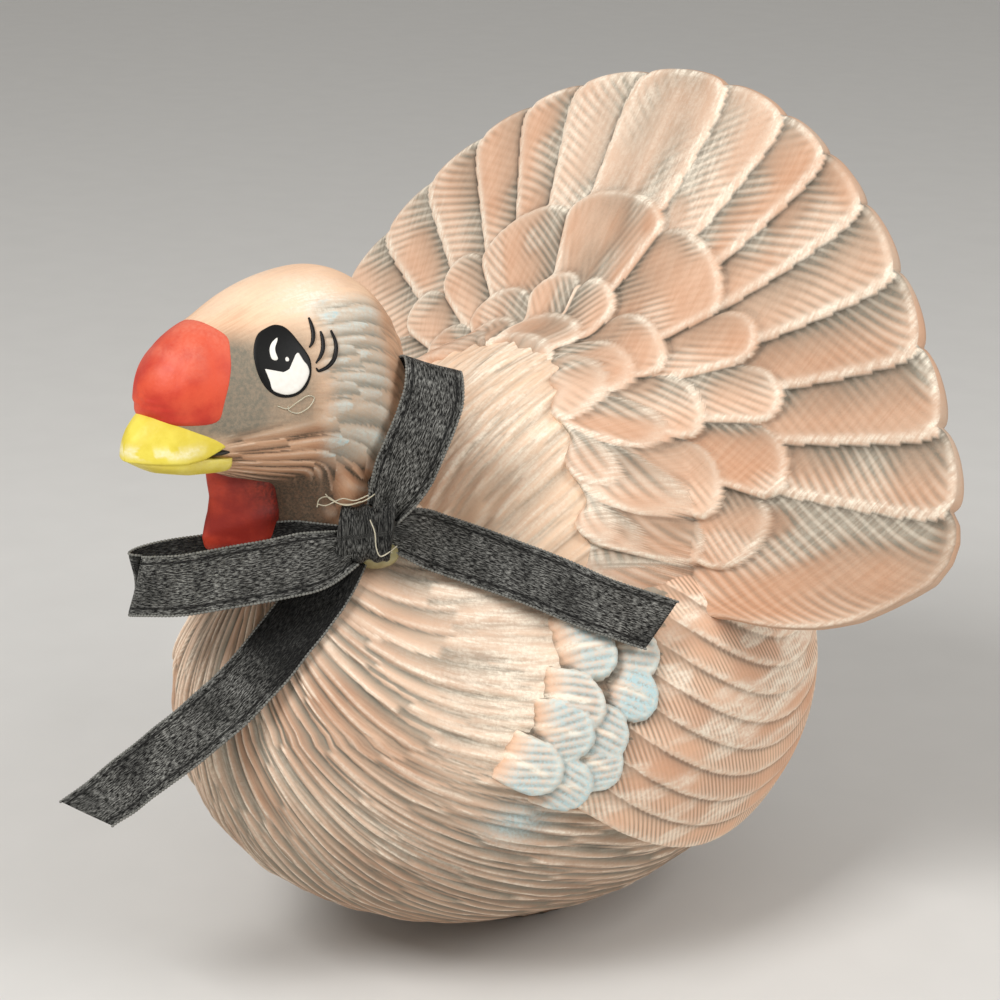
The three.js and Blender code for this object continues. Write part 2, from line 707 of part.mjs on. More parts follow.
function knotBlock(grow) {
  const half = [KNOT_WIDTH / 2 + grow, KNOT_HEIGHT / 2 + grow, KNOT_DEPTH / 2 + grow];
  const outline = new THREE.Shape();
  outline.moveTo(-half[0], -half[1]);
  outline.lineTo(half[0], -half[1]);
  outline.quadraticCurveTo(half[0] * KNOT_WAIST, 0, half[0], half[1]);
  outline.lineTo(-half[0], half[1]);
  outline.quadraticCurveTo(-half[0] * KNOT_WAIST, 0, -half[0], -half[1]);
  const geometry = new THREE.ExtrudeGeometry(outline, {
    depth: 2 * (half[2] - KNOT_ROUNDING),
    bevelThickness: KNOT_ROUNDING,
    bevelSize: KNOT_ROUNDING,
    bevelOffset: -KNOT_ROUNDING,
    bevelSegments: BEVEL_STEPS,
    curveSegments: TIP_SIDES,
  });
  geometry.translate(0, 0, KNOT_ROUNDING - half[2]);
  return solid(geometry.applyMatrix4(bowPlace));
}

// The ribbon's four stretches out of the knot: points (u, v, n) along each one, the direction
// of its width where it starts and where it ends, and the rise of what it lies over
const BOW_STRIPS = {
  bow_loop_left: {
    route: [
      [-2.5, -2.5, 1.4], [-9, -4.7, 5.4], [-22, -7.2, 8], [-33, -9, 7], [-38.5, -10, 3],
      [-33, -8, -0.8], [-22, -6.2, -0.6], [-9, -3.4, 1.8], [-2.5, -1.8, 0.4],
    ],
    widths: [[0.15, 1, -0.25], [0.15, 1, -0.1]],
    steps: 30,
    returns: true,
    over: 0,
  },
  bow_loop_right: {
    route: [
      [3, 3.4, 1.2], [6, 9, 3.8], [9.6, 17, 5.4], [12.2, 24.5, 4.4], [13.4, 27.6, 0.8],
      [12, 24, -3], [9.4, 17, -3.6], [6, 9, -1.6], [3, 3.4, 0],
    ],
    widths: [[1, -0.3, 0.15], [1, -0.3, -0.15]],
    steps: 26,
    returns: true,
    over: 0,
  },
  bow_tail_left: {
    route: [
      [-2.5, -3.4, -0.6], [-7, -9, 0.6], [-12, -15.5, 1.8], [-17.5, -22.5, 2.6], [-25, -30, 2.2],
      [-36, -38.8, -1.4], [-47.5, -47.6, -5.4],
    ],
    widths: [[1, -0.5, 0.2], [0.6, -0.75, 0.6]],
    steps: 16,
    returns: false,
    over: 0,
  },
  bow_tail_right: {
    route: [
      [3, 0.6, -0.8], [8, -0.2, -2.8], [13, -2, -5.8], [22, -5.2, -8], [31, -8.6, -7.8],
      [40, -12.4, -7.6], [48.8, -15.6, -10],
    ],
    widths: [[0.1, 1, -0.2], [0.3, 1, -0.45]],
    steps: 16,
    returns: false,
    over: COVERT_RISE,
  },
};

// A stretch of ribbon, gathered where it goes into the knot and full width at a free end
function ribbonStrip({ route, widths, steps, returns, over }, grow) {
  const toBow = bowPlace.clone().invert();
  const points = route.map((p) => {
    const point = new THREE.Vector3(...p).applyMatrix4(bowPlace);
    return clearOfBody(point, over + RIBBON_CLEARANCE).applyMatrix4(toBow);
  });
  const path = new THREE.CatmullRomCurve3(points, false, 'centripetal');
  const [widthFrom, widthTo] = widths.map((w) => new THREE.Vector3(...w));
  const rings = [];
  for (let i = 0; i <= steps; i++) {
    const share = i / steps;
    const tangent = path.getTangent(share);
    const across = widthFrom.clone().lerp(widthTo, share);
    across.addScaledVector(tangent, -across.dot(tangent)).normalize();
    const face = new THREE.Vector3().crossVectors(tangent, across);
    const toKnot = returns ? Math.min(share, 1 - share) : share;
    const gather = THREE.MathUtils.lerp(RIBBON_GATHER, 1, Math.min(1, toKnot / GATHER_SHARE));
    const half = (RIBBON_WIDTH / 2) * gather + grow;
    const thick = RIBBON_THICKNESS / 2 + grow;
    rings.push([[-half, -thick], [half, -thick], [half, thick], [-half, thick]].map(([w, t]) => (
      path.getPoint(share).addScaledVector(across, w).addScaledVector(face, t)
    )));
  }
  return solid(loft(rings).applyMatrix4(bowPlace));
}

function bowStrip(name) {
  return ribbonStrip(BOW_STRIPS[name], 0)
    .subtract(knotBlock(SEAM))
    .subtract(headAndNeck(SEAM))
    .subtract(bodyEgg(SEAM))
    .subtract(capeEgg(SEAM));
}

// Set glue between the knot and the neck, squeezed out under the knot and round the ribbon
function glueBead() {
  const geometry = new THREE.SphereGeometry(1, ...FACE_FACETS);
  geometry.scale(GLUE_WIDTH / 2, GLUE_HEIGHT / 2, GLUE_DEPTH / 2);
  geometry.translate(0, -GLUE_DROP, -KNOT_DEPTH / 2 - GLUE_SINK);
  let bead = solid(geometry.applyMatrix4(bowPlace))
    .subtract(knotBlock(SEAM))
    .subtract(headAndNeck(SEAM));
  for (const strip of Object.values(BOW_STRIPS)) {
    bead = bead.subtract(ribbonStrip(strip, SEAM));
  }
  return bead.subtract(bodyEgg(SEAM));
}

// Assembly

const head = headAndNeck(0).subtract(bodyEgg(SEAM));
const snood = snoodBlob(0).subtract(headAndNeck(SEAM));
const beakUpper = beakBlob(0).subtract(headAndNeck(SEAM)).subtract(snoodBlob(SEAM));
const beakLower = jawBlob(0).subtract(headAndNeck(SEAM)).subtract(beakBlob(SEAM));
const wattle = wattleFlap()
  .subtract(headAndNeck(SEAM))
  .subtract(jawBlob(SEAM))
  .subtract(beakBlob(SEAM));
const fan = tailFan();
const leftWing = wing(fan);

const turkey = new THREE.Group();
turkey.add(
  subMesh('body_shell', bodyShell(), 'stain'),
  subMesh('back_cape', backCape(), 'stain'),
  subMesh('tail_fan', fan, 'stain'),
  subMesh('wing_left', leftWing, 'stain'),
  subMesh('wing_right', mirrored(leftWing), 'stain'),
  subMesh('head', head, 'stain'),
  subMesh('snood', snood, 'flesh'),
  subMesh('wattle', wattle, 'flesh'),
  subMesh('beak_upper', beakUpper, 'horn'),
  subMesh('beak_lower', beakLower, 'horn'),
  subMesh('bow_knot', knotBlock(0).subtract(headAndNeck(SEAM)), 'satin'),
  ...Object.keys(BOW_STRIPS).map((name) => subMesh(name, bowStrip(name), 'satin')),
  subMesh('glue_bead', glueBead(), 'glue'),
);

export default turkey;
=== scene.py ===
import math
from functools import partial

import bpy
import numpy as np
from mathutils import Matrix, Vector


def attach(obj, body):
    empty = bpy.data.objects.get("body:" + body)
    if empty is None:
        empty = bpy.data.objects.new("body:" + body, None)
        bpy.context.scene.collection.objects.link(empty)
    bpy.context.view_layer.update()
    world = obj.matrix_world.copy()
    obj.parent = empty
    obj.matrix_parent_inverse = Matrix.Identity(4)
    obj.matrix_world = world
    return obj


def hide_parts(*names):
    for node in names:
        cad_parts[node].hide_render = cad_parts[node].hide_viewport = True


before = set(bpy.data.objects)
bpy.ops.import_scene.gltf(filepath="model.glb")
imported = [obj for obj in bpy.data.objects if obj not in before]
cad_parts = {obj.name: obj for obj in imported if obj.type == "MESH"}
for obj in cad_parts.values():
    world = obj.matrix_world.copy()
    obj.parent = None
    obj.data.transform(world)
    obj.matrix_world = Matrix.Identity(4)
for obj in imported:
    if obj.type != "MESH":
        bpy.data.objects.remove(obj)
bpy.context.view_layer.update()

# The stand is a plain pale table in soft daylight. The figure is seen from the front of its left side,
# a little from above. A broad lamp stands in front of it, a weaker one stands beside it, and the room
# fills the shadows.
MM = 0.001
VIEW_TURN, VIEW_HEIGHT, VIEW_AWAY = math.radians(45), math.radians(18), 475
VIEW_TARGET = Vector((0, -2, 79))
LAMP_TARGET = Vector((0, 0, 0.07))
LAMP_SIZE = 0.4
TABLE_HALF = 4
scene = bpy.context.scene
scene.view_settings.view_transform = "Standard"


def put(name, data):
    """A new object in the scene."""
    made = bpy.data.objects.new(name, data)
    scene.collection.objects.link(made)
    return made


def aim(made, place, way):
    """Stands a camera or a lamp at a place, in metres, to look along a direction."""
    made.location = place
    made.rotation_euler = way.to_track_quat("-Z", "Y").to_euler()


def lamp(name, place, power):
    """A square soft lamp that points at the figure."""
    data = bpy.data.lights.new(name, "AREA")
    data.size = LAMP_SIZE
    data.energy = power
    aim(put(name, data), place, LAMP_TARGET - Vector(place))


camera_data = bpy.data.cameras.new("camera")
camera_data.sensor_width = 36
camera_data.lens = 92.3
camera_data.clip_start = 0.01
scene.camera = put("camera", camera_data)
view_back = Vector(
    (
        math.sin(VIEW_TURN) * math.cos(VIEW_HEIGHT),
        -math.cos(VIEW_TURN) * math.cos(VIEW_HEIGHT),
        math.sin(VIEW_HEIGHT),
    )
)
aim(scene.camera, VIEW_TARGET * MM + view_back * VIEW_AWAY * MM, -view_back)
lamp("window", (0.05, -0.75, 0.85), 8.4)
lamp("side_window", (0.75, 0.15, 0.6), 3.2)
world = bpy.data.worlds.new("room")
scene.world = world
world.use_nodes = True


def feed(tree, node, inputs):
    """Sets a node's inputs to values, or joins them to what other nodes give."""
    for key, value in inputs.items():
        if isinstance(value, bpy.types.NodeSocket):
            tree.links.new(value, node.inputs[key])
        else:
            node.inputs[key].default_value = value


def add(tree, kind, inputs, **settings):
    """A node with its settings and its inputs."""
    made = tree.nodes.new(kind)
    for key, value in settings.items():
        setattr(made, key, value)
    feed(tree, made, inputs)
    return made


def new_material(name):
    """An empty material with its tree and its shader node."""
    made = bpy.data.materials.new(name)
    made.use_nodes = True
    return made, made.node_tree, made.node_tree.nodes["Principled BSDF"]


def colour(red, green, blue):
    """A colour as it is seen, from 0 to 255, in the renderer's linear scale."""
    share = [value / 255 for value in (red, green, blue)]
    return tuple(s / 12.92 if s < 0.04045 else ((s + 0.055) / 1.055) ** 2.4 for s in share) + (1,)


def noise(tree, scale, detail=2, rough=0.5, vector=None):
    """Uneven grain from 0 to 1, through the piece's own space unless another is given."""
    if vector is None:
        vector = add(tree, "ShaderNodeTexCoord", {}).outputs["Object"]
    inputs = {"Scale": scale, "Detail": detail, "Roughness": rough, "Vector": vector}
    return add(tree, "ShaderNodeTexNoise", inputs).outputs["Fac"]


def layer(tree, below, shade, amount):
    """One colour laid over another by an amount."""
    return add(tree, "ShaderNodeMix", {0: amount, 6: below, 7: shade}, data_type="RGBA").outputs[2]


def speckled(name, shade, fleck, grain, finish):
    """A material of one colour with flecks of another."""
    made, tree, shader = new_material(name)
    mixed = layer(tree, colour(*shade), colour(*fleck), noise(tree, *grain))
    feed(tree, shader, {"Base Color": mixed, **finish})
    return made


feed(world.node_tree, world.node_tree.nodes["Background"], {"Color": (1, 0.985, 0.96, 1), "Strength": 0.42})
table_paint = speckled("table_paint", (214, 212, 208), (220, 218, 214), (60,), {"Roughness": 0.6})
table_mesh = bpy.data.meshes.new("table")
table_corners = [(TABLE_HALF * x, TABLE_HALF * y, 0) for x, y in ((-1, -1), (1, -1), (1, 1), (-1, 1))]
table_mesh.from_pydata(table_corners, [], [(0, 1, 2, 3)])
table_mesh.materials.append(table_paint)
table = put("table", table_mesh)

# The body is a hollow slip-cast egg of bisque clay with a fuller breast, a flat foot and a round vent.
# Long pointed locks are carved into it from the neck to the tail. Terracotta stain is rubbed over, grey
# wash stays in the grooves, and cream is dry-brushed over the ridges. Painted shade darkens it towards
# the bottom.
BODY_CENTRE = np.array([0, 0, 43.2])
BODY_REACH = np.array([50, 67, 42.3])
BREAST_WAY = np.array([0, -math.cos(math.radians(36)), math.sin(math.radians(36))])
BREAST_SWELL, BREAST_SPREAD = 0.18, math.radians(23)
NECK_PLACE = np.array([0, -47])
NECK_RISE, NECK_FLARE = 13, 16
FOOT_PLACE, FOOT_REACH = 3, (15, 19)
VENT_RADIUS, VENT_PLACE, VENT_SIDES = 5, 12, 40
# The grey wash and the groove brown are also the colours of painted shade.
GREY_WASH_AND_SHADE, GROOVE_AND_SHADE_BROWN, CREAM = (122, 116, 102), (74, 66, 55), (250, 238, 218)
PALE_BLUE, DUST = (182, 208, 211), (104, 92, 78)
LOCK_SINK = 0.9
DRAWS = 997


def egg_point(way):
    """The smooth body's surface along a unit direction, in millimetres."""
    turn = np.arccos(np.clip(way @ BREAST_WAY, -1, 1))
    swell = 1 + BREAST_SWELL * np.exp(-((turn / BREAST_SPREAD) ** 2) / 2)
    return BODY_CENTRE + way * swell[..., None] * BODY_REACH


def straight(way):
    """A direction one unit long."""
    return way / np.linalg.norm(way, axis=-1, keepdims=True)


def outward(way, reach):
    """The outward normal of an ellipsoid along a unit direction."""
    return straight(way / reach)


def run_along(line):
    """Length run along a line of points."""
    return np.concatenate([[0], np.cumsum(np.linalg.norm(np.diff(line, axis=0), axis=1))])


def round_turns(count):
    """Even angles round a ring."""
    return np.arange(count) / count * 2 * math.pi


def flow_ways(start, end, rows, columns):
    """Directions on lines that run over a sphere from one pole to another, as combed hair does."""
    apart = math.acos(float(np.dot(start, end)))
    side = np.array([1.0, 0, 0])
    ahead = straight(end - math.cos(apart) * start)
    far = math.tan(apart / 2)
    near = math.tan(apart / 4)
    middle = far * near / (far - near)

    def ways(away, turn):
        flat = middle * np.tan(away / 2) * np.exp(1j * turn)
        top, under = flat * far, far + flat
        size = np.abs(top) ** 2 + np.abs(under) ** 2
        along = ((np.abs(under) ** 2 - np.abs(top) ** 2) / size)[..., None]
        across = 2 * top * np.conj(under) / size
        return along * start + across.real[..., None] * ahead + across.imag[..., None] * side

    fine = np.linspace(0, 2 * math.pi, 4001)
    length = run_along(ways(np.full_like(fine, math.pi / 2), fine))
    turns = np.interp(np.arange(columns) / columns * length[-1], length, fine)
    return ways(np.linspace(0.02, math.pi - 0.02, rows)[:, None], turns)


def soften(field, rows=1, columns=1, wrap=True):
    """A field smoothed along its rows and its columns."""
    for _ in range(rows):
        padded = np.pad(field, ((1, 1), (0, 0)), mode="edge")
        field = (padded[:-2] + 2 * padded[1:-1] + padded[2:]) / 4
    for _ in range(columns):
        padded = np.pad(field, ((0, 0), (1, 1)), mode="wrap" if wrap else "edge")
        field = (padded[:, :-2] + 2 * padded[:, 1:-1] + padded[:, 2:]) / 4
    return field


def unit(share):
    """A share kept from 0 to 1."""
    return np.clip(share, 0, 1)


def ease(share):
    """A share from 0 to 1 with soft ends."""
    held = unit(share)
    return held * held * (3 - 2 * held)


def peak(away, width):
    """A soft line, 1 at its middle, that fades over a width."""
    return np.exp(-((away / width) ** 2))


def clouds(shape, patches, seed):
    """Soft uneven patches from 0 to 1, closed round the columns, for worn stain and wandering grooves."""
    rough = np.random.default_rng(seed).random((patches[0] + 1, patches[1]))
    low = np.linspace(0, patches[0] - 1e-6, shape[0])
    wide = np.arange(shape[1]) / shape[1] * patches[1]
    row, column = low.astype(int), wide.astype(int)
    down, over = ease(low - row)[:, None], ease(wide - column)
    beside = (column + 1) % patches[1]
    upper = rough[row][:, column] * (1 - over) + rough[row][:, beside] * over
    lower = rough[row + 1][:, column] * (1 - over) + rough[row + 1][:, beside] * over
    return upper * (1 - down) + lower * down


def spans(points):
    """Length run along each column of a grid, and the width of each of its cells."""
    steps = np.linalg.norm(np.diff(points, axis=0), axis=2)
    along = np.vstack([np.zeros((1, points.shape[1])), np.cumsum(steps, axis=0)])
    return along, np.linalg.norm(np.roll(points, -1, axis=1) - points, axis=2)


def comb_strands(points, count, width, length, sway, seed):
    """Long lapped strands along a grid's columns that divide as the grid widens, from 0 to 1 in each mark."""
    rng = np.random.default_rng(seed)
    along, pitch = spans(points)
    columns = along.shape[1]
    turn = np.arange(columns) / columns
    around = np.abs(2 * turn - 1) * count / 2
    around = around + sway * (clouds(along.shape, (5, 5), seed + 1) - 0.5)
    around = around + 0.2 * sway * (clouds(along.shape, (7, 8), seed + 2) - 0.5)
    widths = np.cumsum(rng.uniform(0.6, 1.4, 2 * count + 40))
    around = np.interp((around + 3) * 4, np.arange(2 * count + 40), widths) / 4
    fold_here = np.clip(np.log2(pitch.sum(axis=1) / count / width), 0, 2)[:, None]
    marks = {key: np.zeros(along.shape) for key in ("height", "crest", "foot", "line", "tone")}
    for fold in range(3):
        part = ease(1 - np.abs(fold_here - fold))
        phase = around * 2**fold
        offset = rng.random(DRAWS)[np.floor(phase).astype(int) % DRAWS]
        phase = phase + 0.55 * ((along / length + offset) % 1 - 0.5)
        strand = np.floor(phase).astype(int)
        across = 1 - (phase - strand)
        strand = strand + (turn > 0.5) * count * 4 + DRAWS
        chain = along / length + rng.random(DRAWS)[strand % DRAWS] + 0.24 * np.abs(2 * across - 1.5) ** 1.4
        lock = chain % 1
        rise = np.where(across < 0.76, (across / 0.76) ** 1.15, (unit(1 - across) / 0.24) ** 0.8)
        nearest = np.minimum(across, 1 - across)
        strong = 0.5 + 0.55 * rng.random(DRAWS)[strand % DRAWS]
        marks["height"] += part * rise * strong * (0.28 + 0.72 * lock)
        marks["crest"] += part * peak(across - 0.74, 0.1) * (0.25 + 0.75 * lock)
        marks["foot"] += part * unit(1.1 - across / 0.52)
        marks["line"] += part * peak(nearest, 0.1) * (0.35 + 0.65 * lock)
        marks["tone"] += part * rng.random(DRAWS)[(strand * 7 + chain.astype(int) * 131) % DRAWS]
    marks["side"] = np.abs(2 * turn - 1) * 200 * np.ones(along.shape)
    marks["run"] = along
    return marks


def carving_marks(height, depth):
    """How deep each point lies in a groove and how far it stands on a ridge, from 0 to 1."""
    level = soften(height, 2, 2, wrap=False)
    wide = soften(height, 10, 10, wrap=False)
    groove = unit((level - height) / depth) + unit((wide - height) / depth) * 0.5
    ridge = unit((height - level) / depth) * 0.6 + unit((height - wide) / depth) * 0.5
    return unit(groove), unit(ridge)


def carry(mesh, key, values):
    """Gives each point of a mesh its share of a mark."""
    mesh.attributes.new(key, "FLOAT", "POINT").data.foreach_set("value", np.asarray(values, np.float32))


def ringed_piece(name, rings, material, fields=None, ends=None):
    """A closed piece from rings of points in millimetres, with a point at each end."""
    count, turn = rings.shape[:2]
    ends = ends or (rings[0].mean(axis=0), rings[-1].mean(axis=0))
    here = np.arange(count * turn).reshape(count, turn)
    beside = np.roll(here, -1, axis=1)
    quads = np.stack([here[:-1], beside[:-1], beside[1:], here[1:]], axis=-1).reshape(-1, 4)
    first, last = np.full(turn, count * turn), np.full(turn, count * turn + 1)
    caps = np.vstack(
        [np.stack([first, beside[0], here[0]], axis=-1), np.stack([last, here[-1], beside[-1]], axis=-1)]
    )
    points = np.vstack([rings.reshape(-1, 3), *ends])
    inner = points - points.mean(axis=0)
    corner = inner[quads]
    volume = np.sum(corner[:, 0] * np.cross(corner[:, 1], corner[:, 2]))
    volume += np.sum(corner[:, 0] * np.cross(corner[:, 2], corner[:, 3]))
    if volume < 0:
        quads, caps = quads[:, ::-1], caps[:, ::-1]
    mesh = bpy.data.meshes.new(name)
    mesh.from_pydata((points * MM).tolist(), [], quads.tolist() + caps.tolist())
    mesh.shade_smooth()
    for key, values in (fields or {}).items():
        carry(mesh, key, np.concatenate([np.asarray(values, float).ravel(), [0, 0]]))
    mesh.materials.append(material)
    piece = put(name, mesh)
    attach(piece, "root")
    return piece


def shape(piece):
    """Gives a piece the mesh that its modifiers make, and clears them."""
    made = bpy.data.meshes.new_from_object(piece.evaluated_get(bpy.context.evaluated_depsgraph_get()))
    piece.modifiers.clear()
    piece.data = made


def mark(tree, field):
    """One of the marks that a piece's points carry."""
    return add(tree, "ShaderNodeAttribute", {}, attribute_name=field).outputs["Fac"]


def reckon(tree, operation, *values, clamp=True):
    """A sum of values, kept from 0 to 1 unless it is left free."""
    made = add(tree, "ShaderNodeMath", dict(enumerate(values)), operation=operation, use_clamp=clamp)
    return made.outputs[0]


def spread(tree, value, start, end=(0, 1), soft=True):
    """A value stretched from one span to another, with soft or straight ends."""
    inputs = {"Value": value, "From Min": start[0], "From Max": start[1], "To Min": end[0], "To Max": end[1]}
    kind = "SMOOTHSTEP" if soft else "LINEAR"
    return add(tree, "ShaderNodeMapRange", inputs, interpolation_type=kind).outputs["Result"]


def bump(tree, height, strength, distance):
    """The turn that fine relief gives to a surface."""
    inputs = {"Height": height, "Strength": strength, "Distance": distance}
    return add(tree, "ShaderNodeBump", inputs).outputs["Normal"]


def stain(name, light, dark):
    """Bisque clay under hand stain: a worn base, grey wash in the grooves, cream and blue dry-brushing.

    The darker base, the wash and the groove brown also lay the painted shade that a piece marks.
    """
    made, tree, shader = new_material(name)
    times, plus = partial(reckon, tree, "MULTIPLY"), partial(reckon, tree, "MULTIPLY_ADD")
    found, grain = partial(mark, tree), partial(noise, tree)
    lines = {"X": times(found("side"), 0.85, clamp=False), "Y": times(found("run"), 0.16, clamp=False)}
    stroke = add(tree, "ShaderNodeCombineXYZ", lines).outputs["Vector"]
    patches = spread(tree, grain(70, 4), (0.35, 0.68))
    speckle = grain(2200, 5, 0.65)
    brush = spread(tree, grain(1, 5, 0.6, stroke), (0.36, 0.64))
    dab = spread(tree, grain(1500, 5, 0.7), (0.34, 0.66))
    wave = reckon(tree, "SINE", times(found("barb"), 2 * math.pi, clamp=False), clamp=False)
    high = times(wave, found("barbed"))
    low = times(times(wave, -1.0, clamp=False), found("barbed"))
    worn_and_shaded = plus(found("tone"), 0.6, plus(patches, 0.3, times(brush, 0.22)))
    washed_and_shaded = times(reckon(tree, "ADD", found("wash_and_shade"), low), plus(dab, 0.16, 0.84))
    grooved_and_shaded = times(found("groove"), plus(speckle, 0.7, 0.55))
    rubbed = times(reckon(tree, "ADD", found("ridge"), found("chalk_and_shade")), plus(brush, 0.7, 0.4))
    rubbed = plus(high, 0.5, times(rubbed, plus(dab, 0.5, 0.6)))
    blued = times(found("sky"), plus(dab, 0.6, 0.4))
    dusted = times(spread(tree, speckle, (0.6, 0.8)), 0.3)
    shade = colour(*light)
    # The darker base, the grey wash and the groove brown also lay painted shade where a piece marks it.
    for hue, amount in (
        (dark, worn_and_shaded),
        (GREY_WASH_AND_SHADE, washed_and_shaded),
        (GROOVE_AND_SHADE_BROWN, grooved_and_shaded),
        (CREAM, times(rubbed, 0.92)),
        (PALE_BLUE, blued),
        (DUST, dusted),
    ):
        shade = layer(tree, shade, colour(*hue), amount)
    finish = {
        "Base Color": shade,
        "Roughness": spread(tree, speckle, (0, 1), (0.68, 0.86), soft=False),
        "Specular IOR Level": 0.3,
        "Normal": bump(tree, plus(high, 0.6, grain(2600, 4, 0.6), clamp=False), 0.24, 0.0004),
    }
    feed(tree, shader, finish)
    return made


body_stain = stain("body_stain", (230, 194, 165), (172, 124, 94))
neck_pole = np.array([0, -0.7015, 0.7128])
tail_pole = np.array([0, math.cos(math.radians(47)), math.sin(math.radians(47))])
body_ways = flow_ways(neck_pole, tail_pole, rows=138, columns=700)
body_rings = egg_point(body_ways)
strands = comb_strands(body_rings, count=26, width=3.1, length=31, sway=1.8, seed=11)
wander = clouds(body_rings.shape[:2], (9, 26), 13)
body_height = (1.2 + 0.8 * wander) * soften(strands["height"]) - LOCK_SINK
stand = np.hypot(body_rings[..., 0] / FOOT_REACH[0], (body_rings[..., 1] - FOOT_PLACE) / FOOT_REACH[1])
stand = ease((1.25 - stand) / 0.25) * (body_rings[..., 2] < 12)
flat = body_rings + outward(body_ways, BODY_REACH) * (body_height * (1 - stand))[..., None]
neck_away = np.hypot(flat[..., 0], flat[..., 1] - NECK_PLACE[1])
flat[..., 2] += NECK_RISE * peak(neck_away, NECK_FLARE) * (flat[..., 2] > 55)
flat[..., 2] = np.maximum(flat[..., 2] * (1 - stand), 0)
# Painted shade: the stain turns darker, browner and greyer towards the bottom and loses its cream there. High
# on the back half it turns paler and chalkier.
low_painted_shade = unit((50 - flat[..., 2]) / 44)
pale = ease((flat[..., 1] + 56) / 26) * ease((flat[..., 2] - 42) / 16)
blue_patch = np.exp(-((flat[..., 1] + 38) ** 2 / 20 + (flat[..., 2] - 39) ** 2 / 10))
body_fields = {
    "groove": unit(strands["line"] * (0.5 + 0.8 * wander)),
    "ridge": strands["crest"] * (1.0 + 0.8 * wander),
    "tone": unit(0.6 * strands["tone"] + 0.75 * low_painted_shade - 0.3 * pale),
    "chalk_and_shade": unit(0.7 * pale + 0.7 * (wander - 0.3) * (1 - low_painted_shade)),
    "wash_and_shade": unit(strands["foot"] * (0.85 + 0.8 * wander) * (1 - 0.5 * pale) + 0.3 * low_painted_shade),
    "sky": 0.8 * blue_patch * (flat[..., 0] > 0),
    "side": strands["side"],
    "run": strands["run"],
}
body_ends = (egg_point(neck_pole) + [0, 0, 12.5], egg_point(tail_pole))
body = ringed_piece("body", flat, body_stain, body_fields, body_ends)
vent_mesh = bpy.data.meshes.new("vent_cutter")
vent_turns = [2 * math.pi * step / VENT_SIDES for step in range(VENT_SIDES)]
vent_points = [
    (VENT_RADIUS * MM * math.cos(turn), (VENT_PLACE + VENT_RADIUS * math.sin(turn)) * MM, level)
    for level in (-0.002, 0.014)
    for turn in vent_turns
]
vent_faces = [tuple(range(VENT_SIDES - 1, -1, -1)), tuple(range(VENT_SIDES, 2 * VENT_SIDES))]
for step in range(VENT_SIDES):
    beside = (step + 1) % VENT_SIDES
    vent_faces.append((step, beside, VENT_SIDES + beside, VENT_SIDES + step))
vent_mesh.from_pydata(vent_points, [], vent_faces)
vent_cutter = put("vent_cutter", vent_mesh)
vent = body.modifiers.new("vent", "BOOLEAN")
vent.object = vent_cutter
vent.operation = "DIFFERENCE"
shape(body)
bpy.data.objects.remove(vent_cutter)
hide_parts("body_shell")

# Each wing is laid on the flank in the same clay: small round coverts in front, long flight feathers
# behind them that bow down and gather towards the tail. The coverts are touched with pale blue.
FLIGHT_COUNT, FLIGHT_WIDTH, FLIGHT_SAG, FLIGHT_BARB = 9, 9.6, 8, 1.1
FLIGHT_ROOTS = np.array([[0, 26.5], [-28, -3.5]])
FLIGHT_TIPS = np.array([[51, 15], [34, -18.5]])
WING_FROM, WING_TO = (-43, 21), (61, 76)
WING_BED, WING_DEPTH, WING_LIFT = -2.2, 7, 2.7
COVERT_HALF, COVERT_BACK, COVERT_BARB = 4.6, 5, 1.3
COVERT_LEAN, COVERT_SWING = -28, 14
COVERTS = [
    (-22.8, 65.5), (-15.1, 64.2), (-18.0, 58.5), (-28.2, 58.8), (-31.5, 54.6),
    (-25.3, 53.6), (-37.5, 50.1), (-27.1, 49.0), (-33.1, 46.3),
]


def lay_feather(height, looks, lift, inside, shown):
    """Lays a feather over those before it, wherever it stands higher."""
    wins = inside & (lift > height)
    height[wins] = lift[wins]
    for key, field in looks.items():
        field[wins] = np.broadcast_to(shown.get(key, 0.0), height.shape)[wins]


